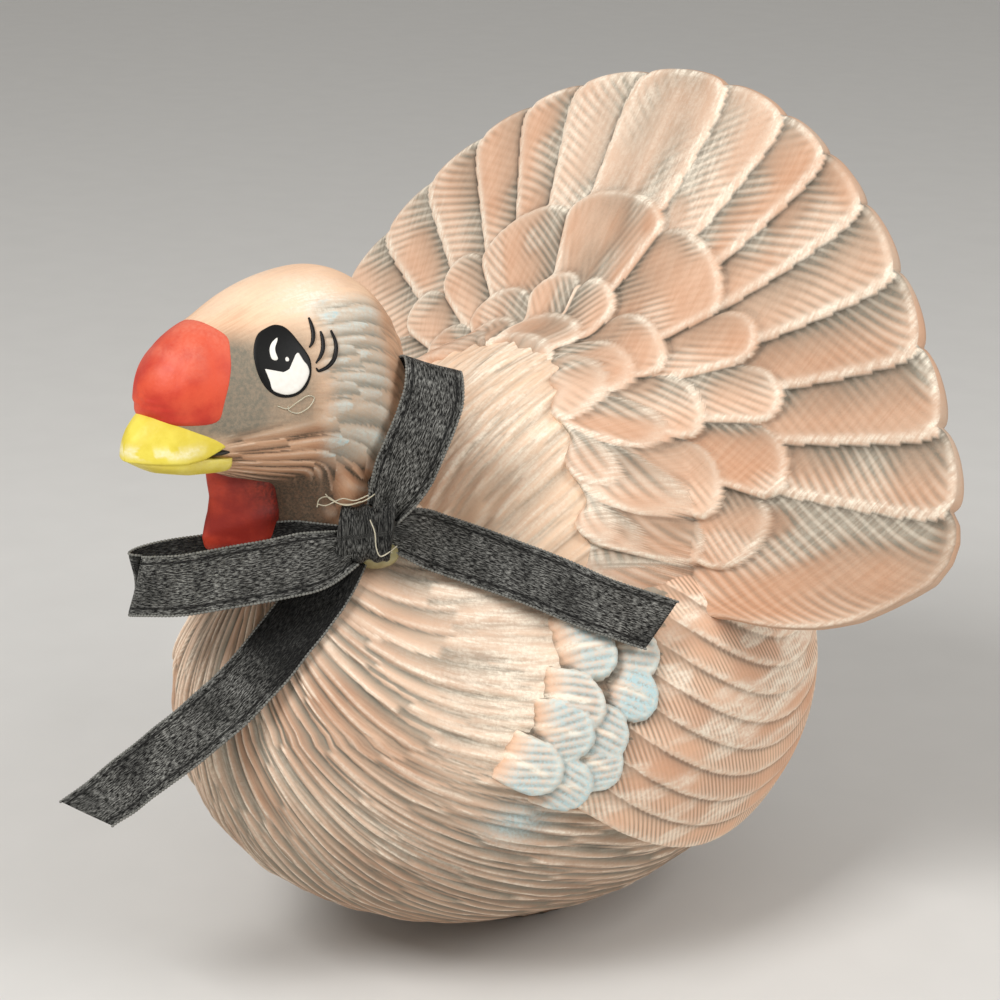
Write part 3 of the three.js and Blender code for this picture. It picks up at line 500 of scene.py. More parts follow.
def wing_piece(name, side):
    """One wing, on the bird's left for side 1 and on its right for side -1."""
    columns, rows = 300, 170
    reach_y, reach_z = np.meshgrid(
        np.linspace(WING_FROM[0], WING_TO[0], columns),
        np.linspace(WING_FROM[1], WING_TO[1], rows),
        indexing="ij",
    )
    up = (reach_z - BODY_CENTRE[2]) / BODY_REACH[2]
    back = reach_y / BODY_REACH[1]
    size = np.hypot(up, back)
    trim = np.minimum(1, 0.985 / size)
    up, back = up * trim, back * trim
    ways = np.stack([np.sqrt(np.clip(1 - up**2 - back**2, 0.0004, 1)), back, up], axis=-1)
    height = np.full(reach_y.shape, WING_BED)
    looks = {key: np.zeros(reach_y.shape) for key in ("tone", "chalk_and_shade", "wash_and_shade", "sky", "barb", "barbed")}
    rng = np.random.default_rng(21)
    wander = clouds(reach_y.shape, (12, 14), 22)
    rubbed = clouds(reach_y.shape, (9, 22), 23)
    for feather in range(FLIGHT_COUNT):
        step = feather / (FLIGHT_COUNT - 1)
        root = FLIGHT_ROOTS[0] + (FLIGHT_ROOTS[1] - FLIGHT_ROOTS[0]) * step
        tip = FLIGHT_TIPS[0] + (FLIGHT_TIPS[1] - FLIGHT_TIPS[0]) * step
        share = (reach_y - root[0]) / (tip[0] - root[0])
        held = np.clip(share, -0.3, 1.2)
        edge_line = BODY_CENTRE[2] + root[1] + (tip[1] - root[1]) * held - 4 * FLIGHT_SAG * held * (1 - held)
        edge_line += np.clip((held - 0.86) / 0.16, 0, 2) ** 2 * FLIGHT_WIDTH * 0.45
        above = reach_z - edge_line
        across = above / FLIGHT_WIDTH
        end = 1.02 - 0.25 * unit(across - 0.5) ** 2
        inside = (across > 0) & (across < 1.2) & (share > -0.25) & (share < end) & (size < 0.955)
        lift = WING_LIFT - 1.75 * np.clip(share, 0, 1.1) + 1.2 * (1 - unit(across)) ** 1.4
        lift -= 0.6 * np.exp(-above / 0.35) + 0.25 * unit(across - 0.8)
        lift -= 30 * unit(0.12 - share) ** 1.5
        fringe = unit(across * 8) * ease((0.85 - across) / 0.7)
        edge = 0.8 * peak(above, 0.75)
        patch = ease((rubbed - 0.5) / 0.25) * peak(across - 0.3, 0.25)
        shown = {
            "tone": 0.15 + 0.55 * rng.random(),
            "chalk_and_shade": edge + (0.9 - 0.4 * step) * patch + 0.12,
            "wash_and_shade": unit(across - 0.36) * (0.8 + 0.8 * wander) + 0.1 * rubbed,
            "barb": (reach_y + 0.18 * above) / FLIGHT_BARB + 0.5 * wander + rng.random(),
            "barbed": 0.75 * fringe * (0.1 + 0.9 * ease((wander - 0.2) / 0.5)),
        }
        lay_feather(height, looks, lift, inside, shown)
    for far, high in COVERTS:
        lean = math.radians(COVERT_LEAN + rng.uniform(-COVERT_SWING, COVERT_SWING))
        ahead = (reach_y - far) * math.cos(lean) + (reach_z - high) * math.sin(lean)
        across = -(reach_y - far) * math.sin(lean) + (reach_z - high) * math.cos(lean)
        round_end = np.sqrt(unit(1 - (across / COVERT_HALF) ** 2))
        inside = (np.abs(across) < COVERT_HALF) & (ahead > -COVERT_BACK)
        inside &= ahead < 1 + COVERT_HALF * round_end
        rim = COVERT_HALF + 0.9 - np.hypot(np.clip(ahead, 0, 9), across)
        lift = WING_LIFT + 0.24 * ahead - 0.36 * np.clip(-ahead, 0, 9) ** 2 + 0.7 * round_end
        lift -= 0.55 * np.exp(-np.clip(rim, 0, 9) / 0.5)
        blend = ease((ahead + 3) / 3.5)
        shaft = peak(across, 0.55) * ease((ahead + 5) / 3) * ease((4 - ahead) / 2)
        slope = rng.uniform(-0.75, 0.75)
        phase = (across + slope * ahead) / COVERT_BARB + 0.7 * wander
        ribs = np.sin(2 * math.pi * phase)
        lift += 0.12 * ribs * ease(rim / 1.5) + 0.2 * shaft
        shown = {
            "tone": 0.25,
            "chalk_and_shade": unit(shaft + 0.8 * peak(rim - 0.8, 0.7) + 0.3 * rubbed),
            "wash_and_shade": 0.45 * blend * unit(-ribs) + 0.12 * (1 - blend),
            "sky": blend * (0.65 + 0.45 * rng.random()) * (0.7 + 0.5 * wander) * (1 - 0.7 * shaft),
            "barb": phase,
            "barbed": 0.55 * blend * ease(rim / 1.5),
        }
        lay_feather(height, looks, lift, inside, shown)
    height = soften(height, wrap=False)
    groove, ridge = carving_marks(height, 0.28)
    surface = egg_point(ways) + outward(ways, BODY_REACH) * height[..., None]
    hidden = (egg_point(ways[:, :1]) + egg_point(ways[:, -1:])) / 2
    hidden = hidden - outward(ways[:, rows // 2 : rows // 2 + 1], BODY_REACH) * WING_DEPTH
    rings = np.concatenate([surface, hidden], axis=1) * [side, 1, 1]
    fields = dict(looks, groove=groove, ridge=0.5 * ridge, side=reach_z, run=reach_y)
    fields = {key: np.pad(value, ((0, 0), (0, 1))) for key, value in fields.items()}
    made = ringed_piece(name, rings, wing_stain, fields)
    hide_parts(name)


wing_stain = stain("wing_stain", (240, 196, 162), (206, 148, 112))
wing_piece("wing_left", 1)
wing_piece("wing_right", -1)

# The cape is a raised saddle of clay over the back. Long neck feathers are carved along it and run in under
# the smallest feathers of the tail. It is the palest part of the plumage.
FAN_LEAN = math.radians(23)
FAN_HUB = np.array([0, 21, 85.8])
FAN_OUT = np.array([0, -math.cos(FAN_LEAN), math.sin(FAN_LEAN)])
FAN_UP = np.array([0, math.sin(FAN_LEAN), math.cos(FAN_LEAN)])
FAN_SLOPE, FAN_RIM, FAN_WALL = 0.268, 72, 4.4


def meet_fan(points, in_front):
    """Points of a form that grows out of the fan's front or its back, ended inside the fan's wall."""
    away = points - FAN_HUB
    lift = away @ FAN_OUT
    flat = away - lift[..., None] * FAN_OUT
    wall = FAN_SLOPE * (FAN_RIM - np.linalg.norm(flat, axis=-1)) - FAN_WALL / 2
    lift = np.maximum(lift, wall) if in_front else np.minimum(lift, wall)
    return FAN_HUB + flat + lift[..., None] * FAN_OUT


cape_centre = np.array([0, 4, 72])
cape_reach = np.array([40, 46, 34.5])
cape_pitch = math.radians(25)
pitch_cos, pitch_sin = math.cos(cape_pitch), math.sin(cape_pitch)
cape_axes = np.array([[1, 0, 0], [0, pitch_cos, pitch_sin], [0, -pitch_sin, pitch_cos]])
cape_ways = flow_ways(np.array([0, -1.0, 0]), np.array([0, 1.0, 0.0001]), rows=110, columns=640)
cape_smooth = cape_ways * cape_reach
strands = comb_strands(cape_smooth, count=24, width=3.4, length=40, sway=1.0, seed=31)
cape_wander = clouds(cape_smooth.shape[:2], (9, 24), 33)
cape_height = (1.3 + 0.9 * cape_wander) * soften(strands["height"]) - LOCK_SINK
cape_away = cape_smooth @ cape_axes + cape_centre - FAN_HUB
cape_lift = cape_away @ FAN_OUT
cape_spread = np.linalg.norm(cape_away - cape_lift[..., None] * FAN_OUT, axis=-1)
over_fan = cape_lift - FAN_SLOPE * (FAN_RIM - cape_spread)
tucked = np.maximum(ease((4.8 - over_fan) / 3), ease((cape_spread - 29) / 3) * ease((13.5 - over_fan) / 2.5))
cape_height = cape_height * (1 - 0.6 * tucked) - 1.2 * tucked
cape_rings = cape_smooth + outward(cape_ways, cape_reach) * cape_height[..., None]
cape_rings = meet_fan(cape_rings @ cape_axes + cape_centre, True)
cape_stain = stain("cape_stain", (244, 208, 174), (224, 178, 142))
cape_fields = {
    "groove": unit(0.7 * strands["line"] * (0.4 + 0.8 * cape_wander)),
    "ridge": strands["crest"],
    "tone": strands["tone"] * 0.8,
    "chalk_and_shade": unit(0.4 + 0.7 * (cape_wander - 0.4)),
    "wash_and_shade": unit(0.85 * strands["foot"] * (0.2 + 0.9 * cape_wander)),
    "side": strands["side"],
    "run": strands["run"],
}
cape = ringed_piece("cape", cape_rings, cape_stain, cape_fields)
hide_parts("back_cape")

# The tail fan is a leaning shell of clay carved with rows of lapped feathers, with a round rump behind it.
# Each feather's outer edge stands over the next one out. Barbs are cut across each feather, and its edge
# is rubbed with cream.
FAN_END, FAN_ROOT = 138, 8
RIM_BARB, LOWEST_BARB, ROW_BARB = 1.75, 2.1, 1.45
ROW_RISE, RIM_WALL = 0.65, 1.3
FAN_ROWS = [
    (
        [7.6, 20.3, 30.8, 41.6, 53.6, 65.2, 76.3, 86.3, 119],
        [71.2, 71, 71, 71.2, 71.9, 73.4, 76.8, 81, 40],
        [72.9, 72.4, 72.2, 72.3, 72.9, 74.3, 77, 81.2, 83.6],
    ),
    (
        [15.1, 45.7, 60.9, 75.4, 91, 110, 150],
        [41.6, 40, 41.1, 44.3, 48, 44, 36],
        [47, 45.5, 47, 50, 52.5, 52, 40],
    ),
    ([0.01, 24, 58, 81, 101, 114, 150], [27, 24, 27, 32.5, 38.5, 40, 34], [27, 29.3, 30.5, 36, 42.3, 44, 36]),
    ([26, 68, 89, 106, 116, 150], [17, 21.5, 27.5, 34, 37, 34], [21.2, 24.6, 31.2, 38.4, 41, 35]),
    ([34, 86, 104, 116, 150], [14, 19.5, 28, 35, 33], [16, 22.8, 31.8, 38.4, 35]),
]
LOWER_TURNS = [86.3, 88, 90, 92.5, 95.5, 99, 104, 108, 112, 116, 122, 130, 138]
LOWER_REACH = [81, 82.9, 83.7, 83.6, 82.2, 78.4, 73, 67.5, 61, 54, 47, 41, 37]
CAPE_TURNS, CAPE_EDGES = [0, 37, 60, 82, 94, 105, 110, 118, 138], [14, 15, 16, 19, 24, 29, 33, 37, 46]
fan_columns, fan_rows, back_rows = 640, 134, 14
fan_turns = np.radians(np.linspace(-FAN_END, FAN_END, fan_columns))


def scallops(angle, notches, dips, tips):
    """Which feather of a row an angle falls on, where it starts and ends, and how far it reaches there.

    A row is the angles of its notches, and the reach of its dips and its tips.
    """
    edges, dips, tips = np.array(notches), np.array(dips), np.array(tips)
    which = np.minimum(np.searchsorted(edges, angle), len(edges) - 1)
    before = np.maximum(which - 1, 0)
    inner = np.where(which == 0, -edges[0], edges[before])
    across = (angle - inner) / (edges[which] - inner)
    low = dips[before]
    base = low + (dips[which] - low) * across
    crown = tips[which] - (low + dips[which]) / 2
    reach = base + crown * np.sqrt(unit(1 - np.abs(2 * across - 1) ** 2.2))
    return which, inner, edges[which], reach


def fan_point(radius, turn, lift):
    """A point of the fan from its radius, its angle and its height over the rim's plane, in millimetres."""
    flat = radius[..., None] * (np.sin(turn)[..., None] * [1, 0, 0] + np.cos(turn)[..., None] * FAN_UP)
    return FAN_HUB + flat + lift[..., None] * FAN_OUT


def fan_bed(radius, turn):
    """Height of the cone that the feathers lie on, as it runs softly up on to the cape."""
    cone = FAN_SLOPE * (FAN_RIM - radius)
    start = ((fan_point(radius, turn, 0 * radius) - cape_centre) @ cape_axes.T) / cape_reach
    rise = (FAN_OUT @ cape_axes.T) / cape_reach
    half = start @ rise
    inside = half**2 - (rise @ rise) * (np.sum(start**2, axis=-1) - 1)
    dome = np.where(inside > 0, (-half + np.sqrt(np.maximum(inside, 0))) / (rise @ rise), -60) - 1.9
    return np.maximum(cone, dome) + 2.2 * np.log1p(np.exp(-np.abs(cone - dome) / 2.2))


fan_degrees = np.abs(np.degrees(fan_turns))
rim_reach = scallops(fan_degrees, *FAN_ROWS[0])[3]
lower_rim = np.interp(fan_degrees, LOWER_TURNS, LOWER_REACH)
rim_reach = np.where(fan_degrees > LOWER_TURNS[0], lower_rim, rim_reach)
fan_share = np.linspace(0, 1, fan_rows) ** 0.92
fan_radius = FAN_ROOT + (rim_reach - FAN_ROOT)[:, None] * fan_share[None, :]
fan_angle = fan_turns[:, None] * np.ones(fan_rows)
fan_height = np.full(fan_radius.shape, -9.0)
fan_looks = {key: np.zeros(fan_radius.shape) for key in ("tone", "chalk_and_shade", "wash_and_shade", "groove", "barb", "barbed")}
fan_wander = clouds(fan_radius.shape, (30, 6), 41) - 0.5
fan_patch = clouds(fan_radius.shape, (40, 9), 43)
cape_edge = np.interp(fan_degrees, CAPE_TURNS, CAPE_EDGES)[:, None]
tone_rng = np.random.default_rng(42)
plain = np.abs(np.degrees(fan_angle))
# Painted shade: the grey wash deepens over the rim feathers on the near side, away from the top.
shaded = 0.2 * ease((np.degrees(fan_angle) - 30) / 30)
rubbed = 0.3 * ease((fan_patch - 0.5) / 0.3)
for level, (notches, dips, tips) in enumerate(FAN_ROWS):
    rim_row = level == 0
    reach = rim_reach[:, None] if rim_row else scallops(plain, notches, dips, tips)[3]
    near_tip = 1 - unit((reach - fan_radius) / 7)
    corner = 2.6 * np.sqrt(unit(1 - near_tip**2)) * rim_row
    bend = plain - np.degrees(corner / fan_radius) - 1.2 * np.sin(math.pi * fan_share)[None, :]
    which, inner, outer, shifted = scallops(np.maximum(bend, 0), notches, dips, tips)
    to_tip = (reach if rim_row else shifted) - fan_radius
    middle = which == 0
    across = unit((bend - inner) / (outer - inner))
    to_edge = np.radians(outer - bend) * fan_radius
    from_inner = np.where(middle, 9, np.radians(bend - inner) * fan_radius)
    lean = np.where(middle, np.abs(2 * across - 1), across)
    breadth = np.radians(np.where(middle, bend, bend - outer)) * fan_radius
    lowest = rim_row & (which == len(notches) - 1)
    if rim_row:
        phase = (fan_radius * 0.74 - breadth * 0.67) / RIM_BARB + 0.45 * fan_wander + which * 0.37
        phase = np.where(lowest, breadth / LOWEST_BARB + 0.8 * fan_wander, phase)
    else:
        phase = (0.94 * breadth - 0.34 * fan_radius) / ROW_BARB + 0.5 * fan_wander + which * 0.37
    barbs = np.sin(2 * math.pi * phase)
    edge = np.clip(np.minimum(to_edge, to_tip), 0, 99)
    strength = ease(edge / 2.6) * (0.12 + 0.9 * ease((fan_patch - 0.25) / 0.5)) * np.where(middle, 0.4, 1)
    lift = ROW_RISE * level + 0.1 + 0.95 * lean**1.5 + 0.35 * np.sqrt(unit(4 * across * (1 - across)))
    lift += 0.035 * np.clip(18 - to_tip, 0, 18) + 0.06 * barbs * strength
    lift -= 0.6 * np.exp(-edge / 0.45)
    lift -= 6 * ease((cape_edge + 2 + 3 * fan_wander - fan_radius) / 6)
    shades = tone_rng.random((2, len(notches)))
    shade = np.where(fan_angle > 0, shades[0][which], shades[1][which])
    covered = np.where(middle, 0.8 * peak(lean - 0.1, 0.5), unit(1.05 - 1.7 * across))
    cream_line = peak(to_edge - 0.8, 0.9 if rim_row else 0.6) * (0.45 + 0.8 * fan_patch)
    tip_line = peak(to_tip - 0.5, 0.6) * (0.2 + 0.6 * fan_patch)
    # The rim feathers are chalkier near the top of the fan and darker in tone towards their lower ends.
    shown = {
        "tone": unit(0.05 + 0.65 * shade + 0.7 * ease((plain - 80) / 12) * rim_row),
        "chalk_and_shade": unit(cream_line + tip_line + rubbed + 0.4 * ease((30 - plain) / 16) * rim_row),
        "wash_and_shade": covered * (0.35 + 0.85 * fan_patch) + np.where(rim_row & ~lowest, shaded, 0),
        "groove": 0.85 * np.exp(-from_inner / 0.6),
        "barb": phase,
        "barbed": 0.45 * strength,
    }
    lay_feather(fan_height, fan_looks, lift, to_tip >= -0.01, shown)
fan_height = soften(fan_height, wrap=False)
groove, ridge = carving_marks(fan_height, 0.45)
fan_height = fan_height + fan_bed(fan_radius, fan_angle)
back_radius = FAN_ROOT + (rim_reach - 0.9 - FAN_ROOT)[:, None] * np.linspace(1, 0, back_rows)[None, :]
rib_inner, rib_outer = scallops(fan_degrees, *FAN_ROWS[0])[1:3]
rib_across = ((fan_degrees - rib_inner) / (rib_outer - rib_inner))[:, None]
back_wall = RIM_WALL + (FAN_WALL - RIM_WALL) * ease((rim_reach[:, None] - back_radius) / 26)
back_lift = FAN_SLOPE * (FAN_RIM - back_radius) - back_wall - 0.7 * rib_across**1.5
rim_bends = np.radians([35, 90, 145])
rim_front, rim_back = fan_height[:, -1:], back_lift[:, :1]
rim_lift = (rim_front + rim_back) / 2 + (rim_front - rim_back) / 2 * np.cos(rim_bends)
rim_radius = rim_reach[:, None] + 0.6 * np.sin(rim_bends) - 0.3
fan_rings = np.concatenate(
    [
        fan_point(fan_radius, fan_angle, fan_height),
        fan_point(rim_radius, fan_turns[:, None], rim_lift),
        fan_point(back_radius, fan_turns[:, None], back_lift),
    ],
    axis=1,
)
beyond = back_rows + len(rim_bends)
back_patch = clouds((fan_columns, beyond), (40, 10), 44)
back_looks = {
    "groove": 0.5 * np.exp(-(rib_across * 9)) * np.ones(beyond),
    "tone": np.full((fan_columns, beyond), 0.4),
    "chalk_and_shade": 0.3 * back_patch,
    "wash_and_shade": 0.45 * back_patch,
}
fan_looks["groove"] = unit(fan_looks["groove"] + 0.6 * groove)
fan_looks["ridge"] = 0.6 * ridge
fan_looks["side"] = np.radians(plain) * fan_radius
fan_looks["run"] = fan_radius
fan_fields = {
    key: np.concatenate([field, back_looks.get(key, np.zeros((fan_columns, beyond)))], axis=1)
    for key, field in fan_looks.items()
}
fan_stain = stain("fan_stain", (230, 194, 166), (198, 146, 112))
fan = ringed_piece("tail_fan", fan_rings, fan_stain, fan_fields)
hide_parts("tail_fan")
rump_centre = np.array([0, 25, 85.8])
rump_reach = np.array([28, 27, 22])
rump_ways = flow_ways(np.array([0, -0.35, 0.9367]), np.array([0, 0.2, -0.9798]), rows=60, columns=360)
rump_smooth = rump_ways * rump_reach
strands = comb_strands(rump_smooth, count=18, width=3.4, length=30, sway=0.8, seed=45)
rump_height = 1.3 * soften(strands["height"]) - LOCK_SINK
rump_rings = rump_centre + rump_smooth + outward(rump_ways, rump_reach) * rump_height[..., None]
rump_fields = {
    "groove": 0.8 * strands["line"],
    "ridge": strands["crest"],
    "tone": strands["tone"],
    "wash_and_shade": 0.7 * strands["foot"],
    "side": strands["side"],
    "run": strands["run"],
}
rump = ringed_piece("rump", meet_fan(rump_rings, False), body_stain, rump_fields)
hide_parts("tail_fan")

# The head and neck are one egg of clay on a short column. The forehead is smooth and the cheeks have
# shallow combed strokes. Its stain runs from pink on the crown to grey, pale blue and brown, and painted
# shade darkens the throat under the jaw.
HEAD_CENTRE = np.array([0, -48.7, 110.35])
HEAD_FRONT = np.array([17.5, 29.6, 20.5])
HEAD_REAR = np.array([17.5, 17.4, 20.5])
HEAD_CHIN = 15.5
NECK_RADIUS = 13.5
SNOOD_PLACE = np.array([0, -19.5, 3.4])
SNOOD_REACH = np.array([9.6, 14.4, 11.4])
EYE_PLACE = np.array([12.6, -63.9, 119.8])
EYE_ACROSS = np.array([0.389, 0.921, 0])
EYE_UP = np.array([-0.414, 0.175, 0.893])
MERGE = 0.6


def head_reach(way):
    """How far the head, its snood or the neck reaches along a unit direction, with soft turns between."""
    lifted = ease(np.maximum((way[..., 1] + 0.45) / 0.45, way[..., 2] * 99))
    drop = HEAD_CHIN + (HEAD_FRONT[2] - HEAD_CHIN) * lifted
    front = np.hypot(way[..., 0] / HEAD_FRONT[0], way[..., 1] / HEAD_FRONT[1])
    front = 1 / np.hypot(front, way[..., 2] / drop)
    egg = np.where(way[..., 1] < 0, front, 1 / np.linalg.norm(way / HEAD_REAR, axis=-1))
    flat = np.hypot(way[..., 0], way[..., 1]) + 1e-9
    shift = (HEAD_CENTRE[1] - NECK_PLACE[1]) * way[..., 1] / flat
    column = (-shift + np.sqrt(np.maximum(shift**2 + NECK_RADIUS**2 - 2.9, 0))) / flat
    neck = np.where(way[..., 2] < 0, np.minimum(column, 36 / np.maximum(-way[..., 2], 1e-3)), 0)
    ahead = way / SNOOD_REACH
    from_snood = SNOOD_PLACE / SNOOD_REACH
    size = np.sum(ahead**2, axis=-1)
    half = ahead @ from_snood
    hit = half**2 - size * (from_snood @ from_snood - 1)
    lobe = np.where((hit > 0) & (half > 0), (half + np.sqrt(np.maximum(hit, 0))) / size, 0)
    return np.log(np.exp(egg * MERGE) + np.exp(neck * MERGE) + np.exp(lobe * MERGE)) / MERGE - 0.05


def from_eye(points):
    """Places measured from the eye on their own side of the head."""
    return points * np.where(points[..., :1] < 0, [-1, 1, 1], 1) - EYE_PLACE


head_ways = flow_ways(np.array([0, -0.97, -0.243]), np.array([0, 0.22, -0.9755]), rows=160, columns=440)
head_smooth = head_ways * head_reach(head_ways)[..., None]
strands = comb_strands(head_smooth, count=10, width=2.2, length=18, sway=1.0, seed=51)
face = from_eye(head_smooth + HEAD_CENTRE)
behind, above = face @ EYE_ACROSS, face @ EYE_UP
ridged = ease((behind - 4.5) / 6) * ease((12 - above) / 4) * ease((above + 18) / 4)
cheeks = ease((-9 - above) / 3) * ease((behind + 11) / 3) * (1 - 0.85 * ridged)
# The throat under the jaw: its combing fades, and it takes painted shade in the groove colour.
shaded_throat = ease((HEAD_CENTRE[1] + head_smooth[..., 1] + 51) / -5) * ease((-9 - head_smooth[..., 2]) / 5)
crown = ease((above - 6) / 5)
nape = ease((behind - 17) / 4)
temple = ease((8 - above) / 7) * ease((above + 13) / 4) * ease((8 - behind) / 5)
temple = temple * (0.65 + 0.35 * peak(behind + 8, 4))
combed = np.maximum(ridged, cheeks) * (1 - 0.7 * shaded_throat)
rounded = unit(1.7 * strands["height"] - 0.25)
head_wander = clouds(head_smooth.shape[:2], (14, 18), 53)
head_height = combed * ((0.62 - 0.2 * ridged) * soften(strands["height"]) - 0.25)
head_rings = head_smooth + head_ways * head_height[..., None]
rubbed_crown = np.exp(-(((behind - 7) / 6) ** 2) - ((above - 10.5) / 4) ** 2)
head_stain = stain("head_stain", (244, 208, 174), (190, 132, 94))
# The groove mark carries the throat's painted shade as well as the combed grooves.
head_grooves = combed * strands["line"] * (0.3 + 0.7 * cheeks) + 0.55 * cheeks * strands["foot"] + shaded_throat
head_ridges = rounded * ridged * (1 - nape) * (0.4 + 0.7 * head_wander)
head_wash = temple * (1.1 + 0.35 * head_wander) + (1 - 0.6 * nape) * ridged * (0.5 + 0.6 * strands["foot"])
head_fields = {
    "groove": unit(head_grooves),
    "ridge": head_ridges + strands["crest"] * 0.8 * cheeks * (1 - shaded_throat),
    "tone": unit(0.85 * cheeks + 0.5 * nape + 0.15 * strands["tone"] - 0.3 * crown),
    "chalk_and_shade": unit(0.3 * crown * head_wander + 0.85 * rubbed_crown + 0.2 * ridged * (1 - nape)),
    "wash_and_shade": unit(head_wash),
    "sky": unit((1 - nape) * ridged * (0.12 + 0.75 * rounded) * (0.5 + head_wander)),
    "side": strands["side"] * 0.5,
    "run": strands["run"],
}
head_ends = (HEAD_CENTRE + [0, -26, -6], HEAD_CENTRE + [0, 2, -35])
head = ringed_piece("head", head_rings + HEAD_CENTRE, head_stain, head_fields, head_ends)
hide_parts("head")


# The snood is a fleshy red lobe that rises out of the forehead and hangs over the beak. It is clay
# painted with an opaque red gloss-free colour, worn a little at its ridge.
def flesh_paint(name, light, dark, worn_and_shaded):
    """Opaque brushed colour over clay, with brush streaks and a marked third colour: wear that lets the pale
    clay through, and on the wattle a dark painted shade.
    """
    made, tree, shader = new_material(name)
    streaks = spread(tree, noise(tree, 160, 5), (0.36, 0.66))
    fine = noise(tree, 1800, 4)
    brushed = layer(tree, colour(*light), colour(*dark), streaks)
    # The marked third colour is wear on the snood and beak, and painted shade on the wattle.
    wear_and_shade = reckon(tree, "MULTIPLY", mark(tree, "chalk_and_shade"), fine, clamp=False)
    finish = {
        "Base Color": layer(tree, brushed, colour(*worn_and_shaded), wear_and_shade),
        "Roughness": spread(tree, fine, (0, 1), (0.42, 0.66), soft=False),
        "Normal": bump(tree, fine, 0.2, 0.0003),
    }
    feed(tree, shader, finish)
    return made


def ring_ways(apart, turns):
    """Directions in rings about the y axis, at angles away from it."""
    apart, turn = np.broadcast_arrays(apart[:, None] if apart.ndim == 1 else apart, turns)
    return np.stack([np.sin(apart) * np.sin(turn), np.cos(apart), np.sin(apart) * np.cos(turn)], axis=-1)


def lump_ways(rows, columns):
    """Directions over a whole sphere in rings from its front to its back."""
    return ring_ways(np.linspace(0.02, math.pi - 0.02, rows), round_turns(columns)) * [1, -1, 1]


snood_red = flesh_paint("snood_red", (216, 78, 46), (188, 42, 22), (240, 168, 142))
snood_axis = np.array([0, -0.985, 0.172])
snood_axes = np.array([[1, 0, 0], snood_axis, [0, 0.172, 0.985]])
snood_turns = round_turns(120)
snood_spreads = np.linspace(0.02, 1.2, 240)
tried = ring_ways(snood_spreads, snood_turns) @ snood_axes
tried = from_eye(HEAD_CENTRE + tried * head_reach(tried)[..., None])
beside, over = tried @ EYE_ACROSS, tried @ EYE_UP
painted = beside < np.interp(over, [-12, -8.3, -3.6, 0.1, 4.9], [-13, -11.3, -9.6, -8.7, -7.9])
painted &= (over < -3 - beside) & (tried[..., 2] > 110.6 - EYE_PLACE[2])
snood_edge = snood_spreads[np.argmin(painted, axis=0)]
snood_edge = soften(snood_edge[None], 0, 4)[0] * (1 + 0.005 * np.sin(7 * snood_turns))
snood_share = np.linspace(0.02, 1, 60)[:, None]
snood_ways = ring_ways(snood_share * snood_edge, snood_turns) @ snood_axes
snood_bumps = soften(clouds(snood_ways.shape[:2], (9, 12), 61), 4, 4)
snood_coat = 0.28 * (1 - snood_share**14) + 0.7 * (snood_bumps - 0.5) * (1 - snood_share**3) * snood_share
snood_rings = snood_ways * (head_reach(snood_ways) + snood_coat)[..., None]
snood_under = snood_ways[-1:] * (head_reach(snood_ways[-1:]) - 1.2)[..., None]
snood_rings = np.concatenate([snood_rings, snood_under]) + HEAD_CENTRE
snood_chalk = np.clip((snood_rings[..., 2] - 117) / 9, 0, 0.5) * np.vstack([snood_bumps, snood_bumps[-1:]])
snood_ends = (snood_rings[0].mean(axis=0), snood_rings[-1].mean(axis=0) + [0, 4, 0])
snood = ringed_piece("snood", snood_rings, snood_red, {"chalk_and_shade": snood_chalk}, snood_ends)
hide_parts("snood")

# The wattle is a red flap of clay that hangs from the throat in front of the neck, under the beak.
# It is painted as the snood is, and painted shade darkens its upper back part under the jaw.
wattle_red = flesh_paint("wattle_red", (198, 62, 34), (152, 32, 14), (54, 14, 8))
WATTLE_TOP, WATTLE_END, WATTLE_BACK, WATTLE_HALF = 102, 83.7, -57.0, 7.4
wattle_levels = np.array([102, 99.8, 97.5, 95.1, 92.5, 90, 88.4, 86.5, 84.8, 83.6])
wattle_fronts = np.array([-70.2, -70.5, -70.2, -69.9, -70.4, -71.2, -71.7, -71.2, -69.2, -66])
wattle_fine = np.linspace(WATTLE_TOP, WATTLE_END, 44)
wattle_front = np.interp(wattle_fine, wattle_levels[::-1], wattle_fronts[::-1])
wattle_turns = round_turns(56)
wattle_long = (WATTLE_BACK - wattle_front) / 2
close = np.sqrt(unit((wattle_fine - 83.2) / 4))
ahead, aside = np.cos(wattle_turns), np.sin(wattle_turns)
wide = WATTLE_HALF * np.abs(aside) ** 0.9 * (0.62 - 0.38 * ahead) * np.sign(aside)
wattle_folds = 0.2 * np.sin(wattle_fine[:, None] * 1.1 + 3 * clouds((44, 56), (6, 8), 66))
wattle_across = wide * close[:, None] + wattle_folds * aside
wattle_along = (wattle_front + wattle_long)[:, None] - wattle_long[:, None] * ahead
wattle_rings = np.stack([wattle_across, wattle_along, wattle_fine[:, None] * np.ones(56)], axis=-1)
# Painted shade: the wattle darkens towards near black at its upper back part, under the jaw.
wattle_painted_shade = 1.5 * ease((wattle_rings[..., 1] + 0.5 * wattle_rings[..., 2] + 21) / 9)
wattle = ringed_piece("wattle", wattle_rings, wattle_red, {"chalk_and_shade": wattle_painted_shade})
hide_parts("wattle")

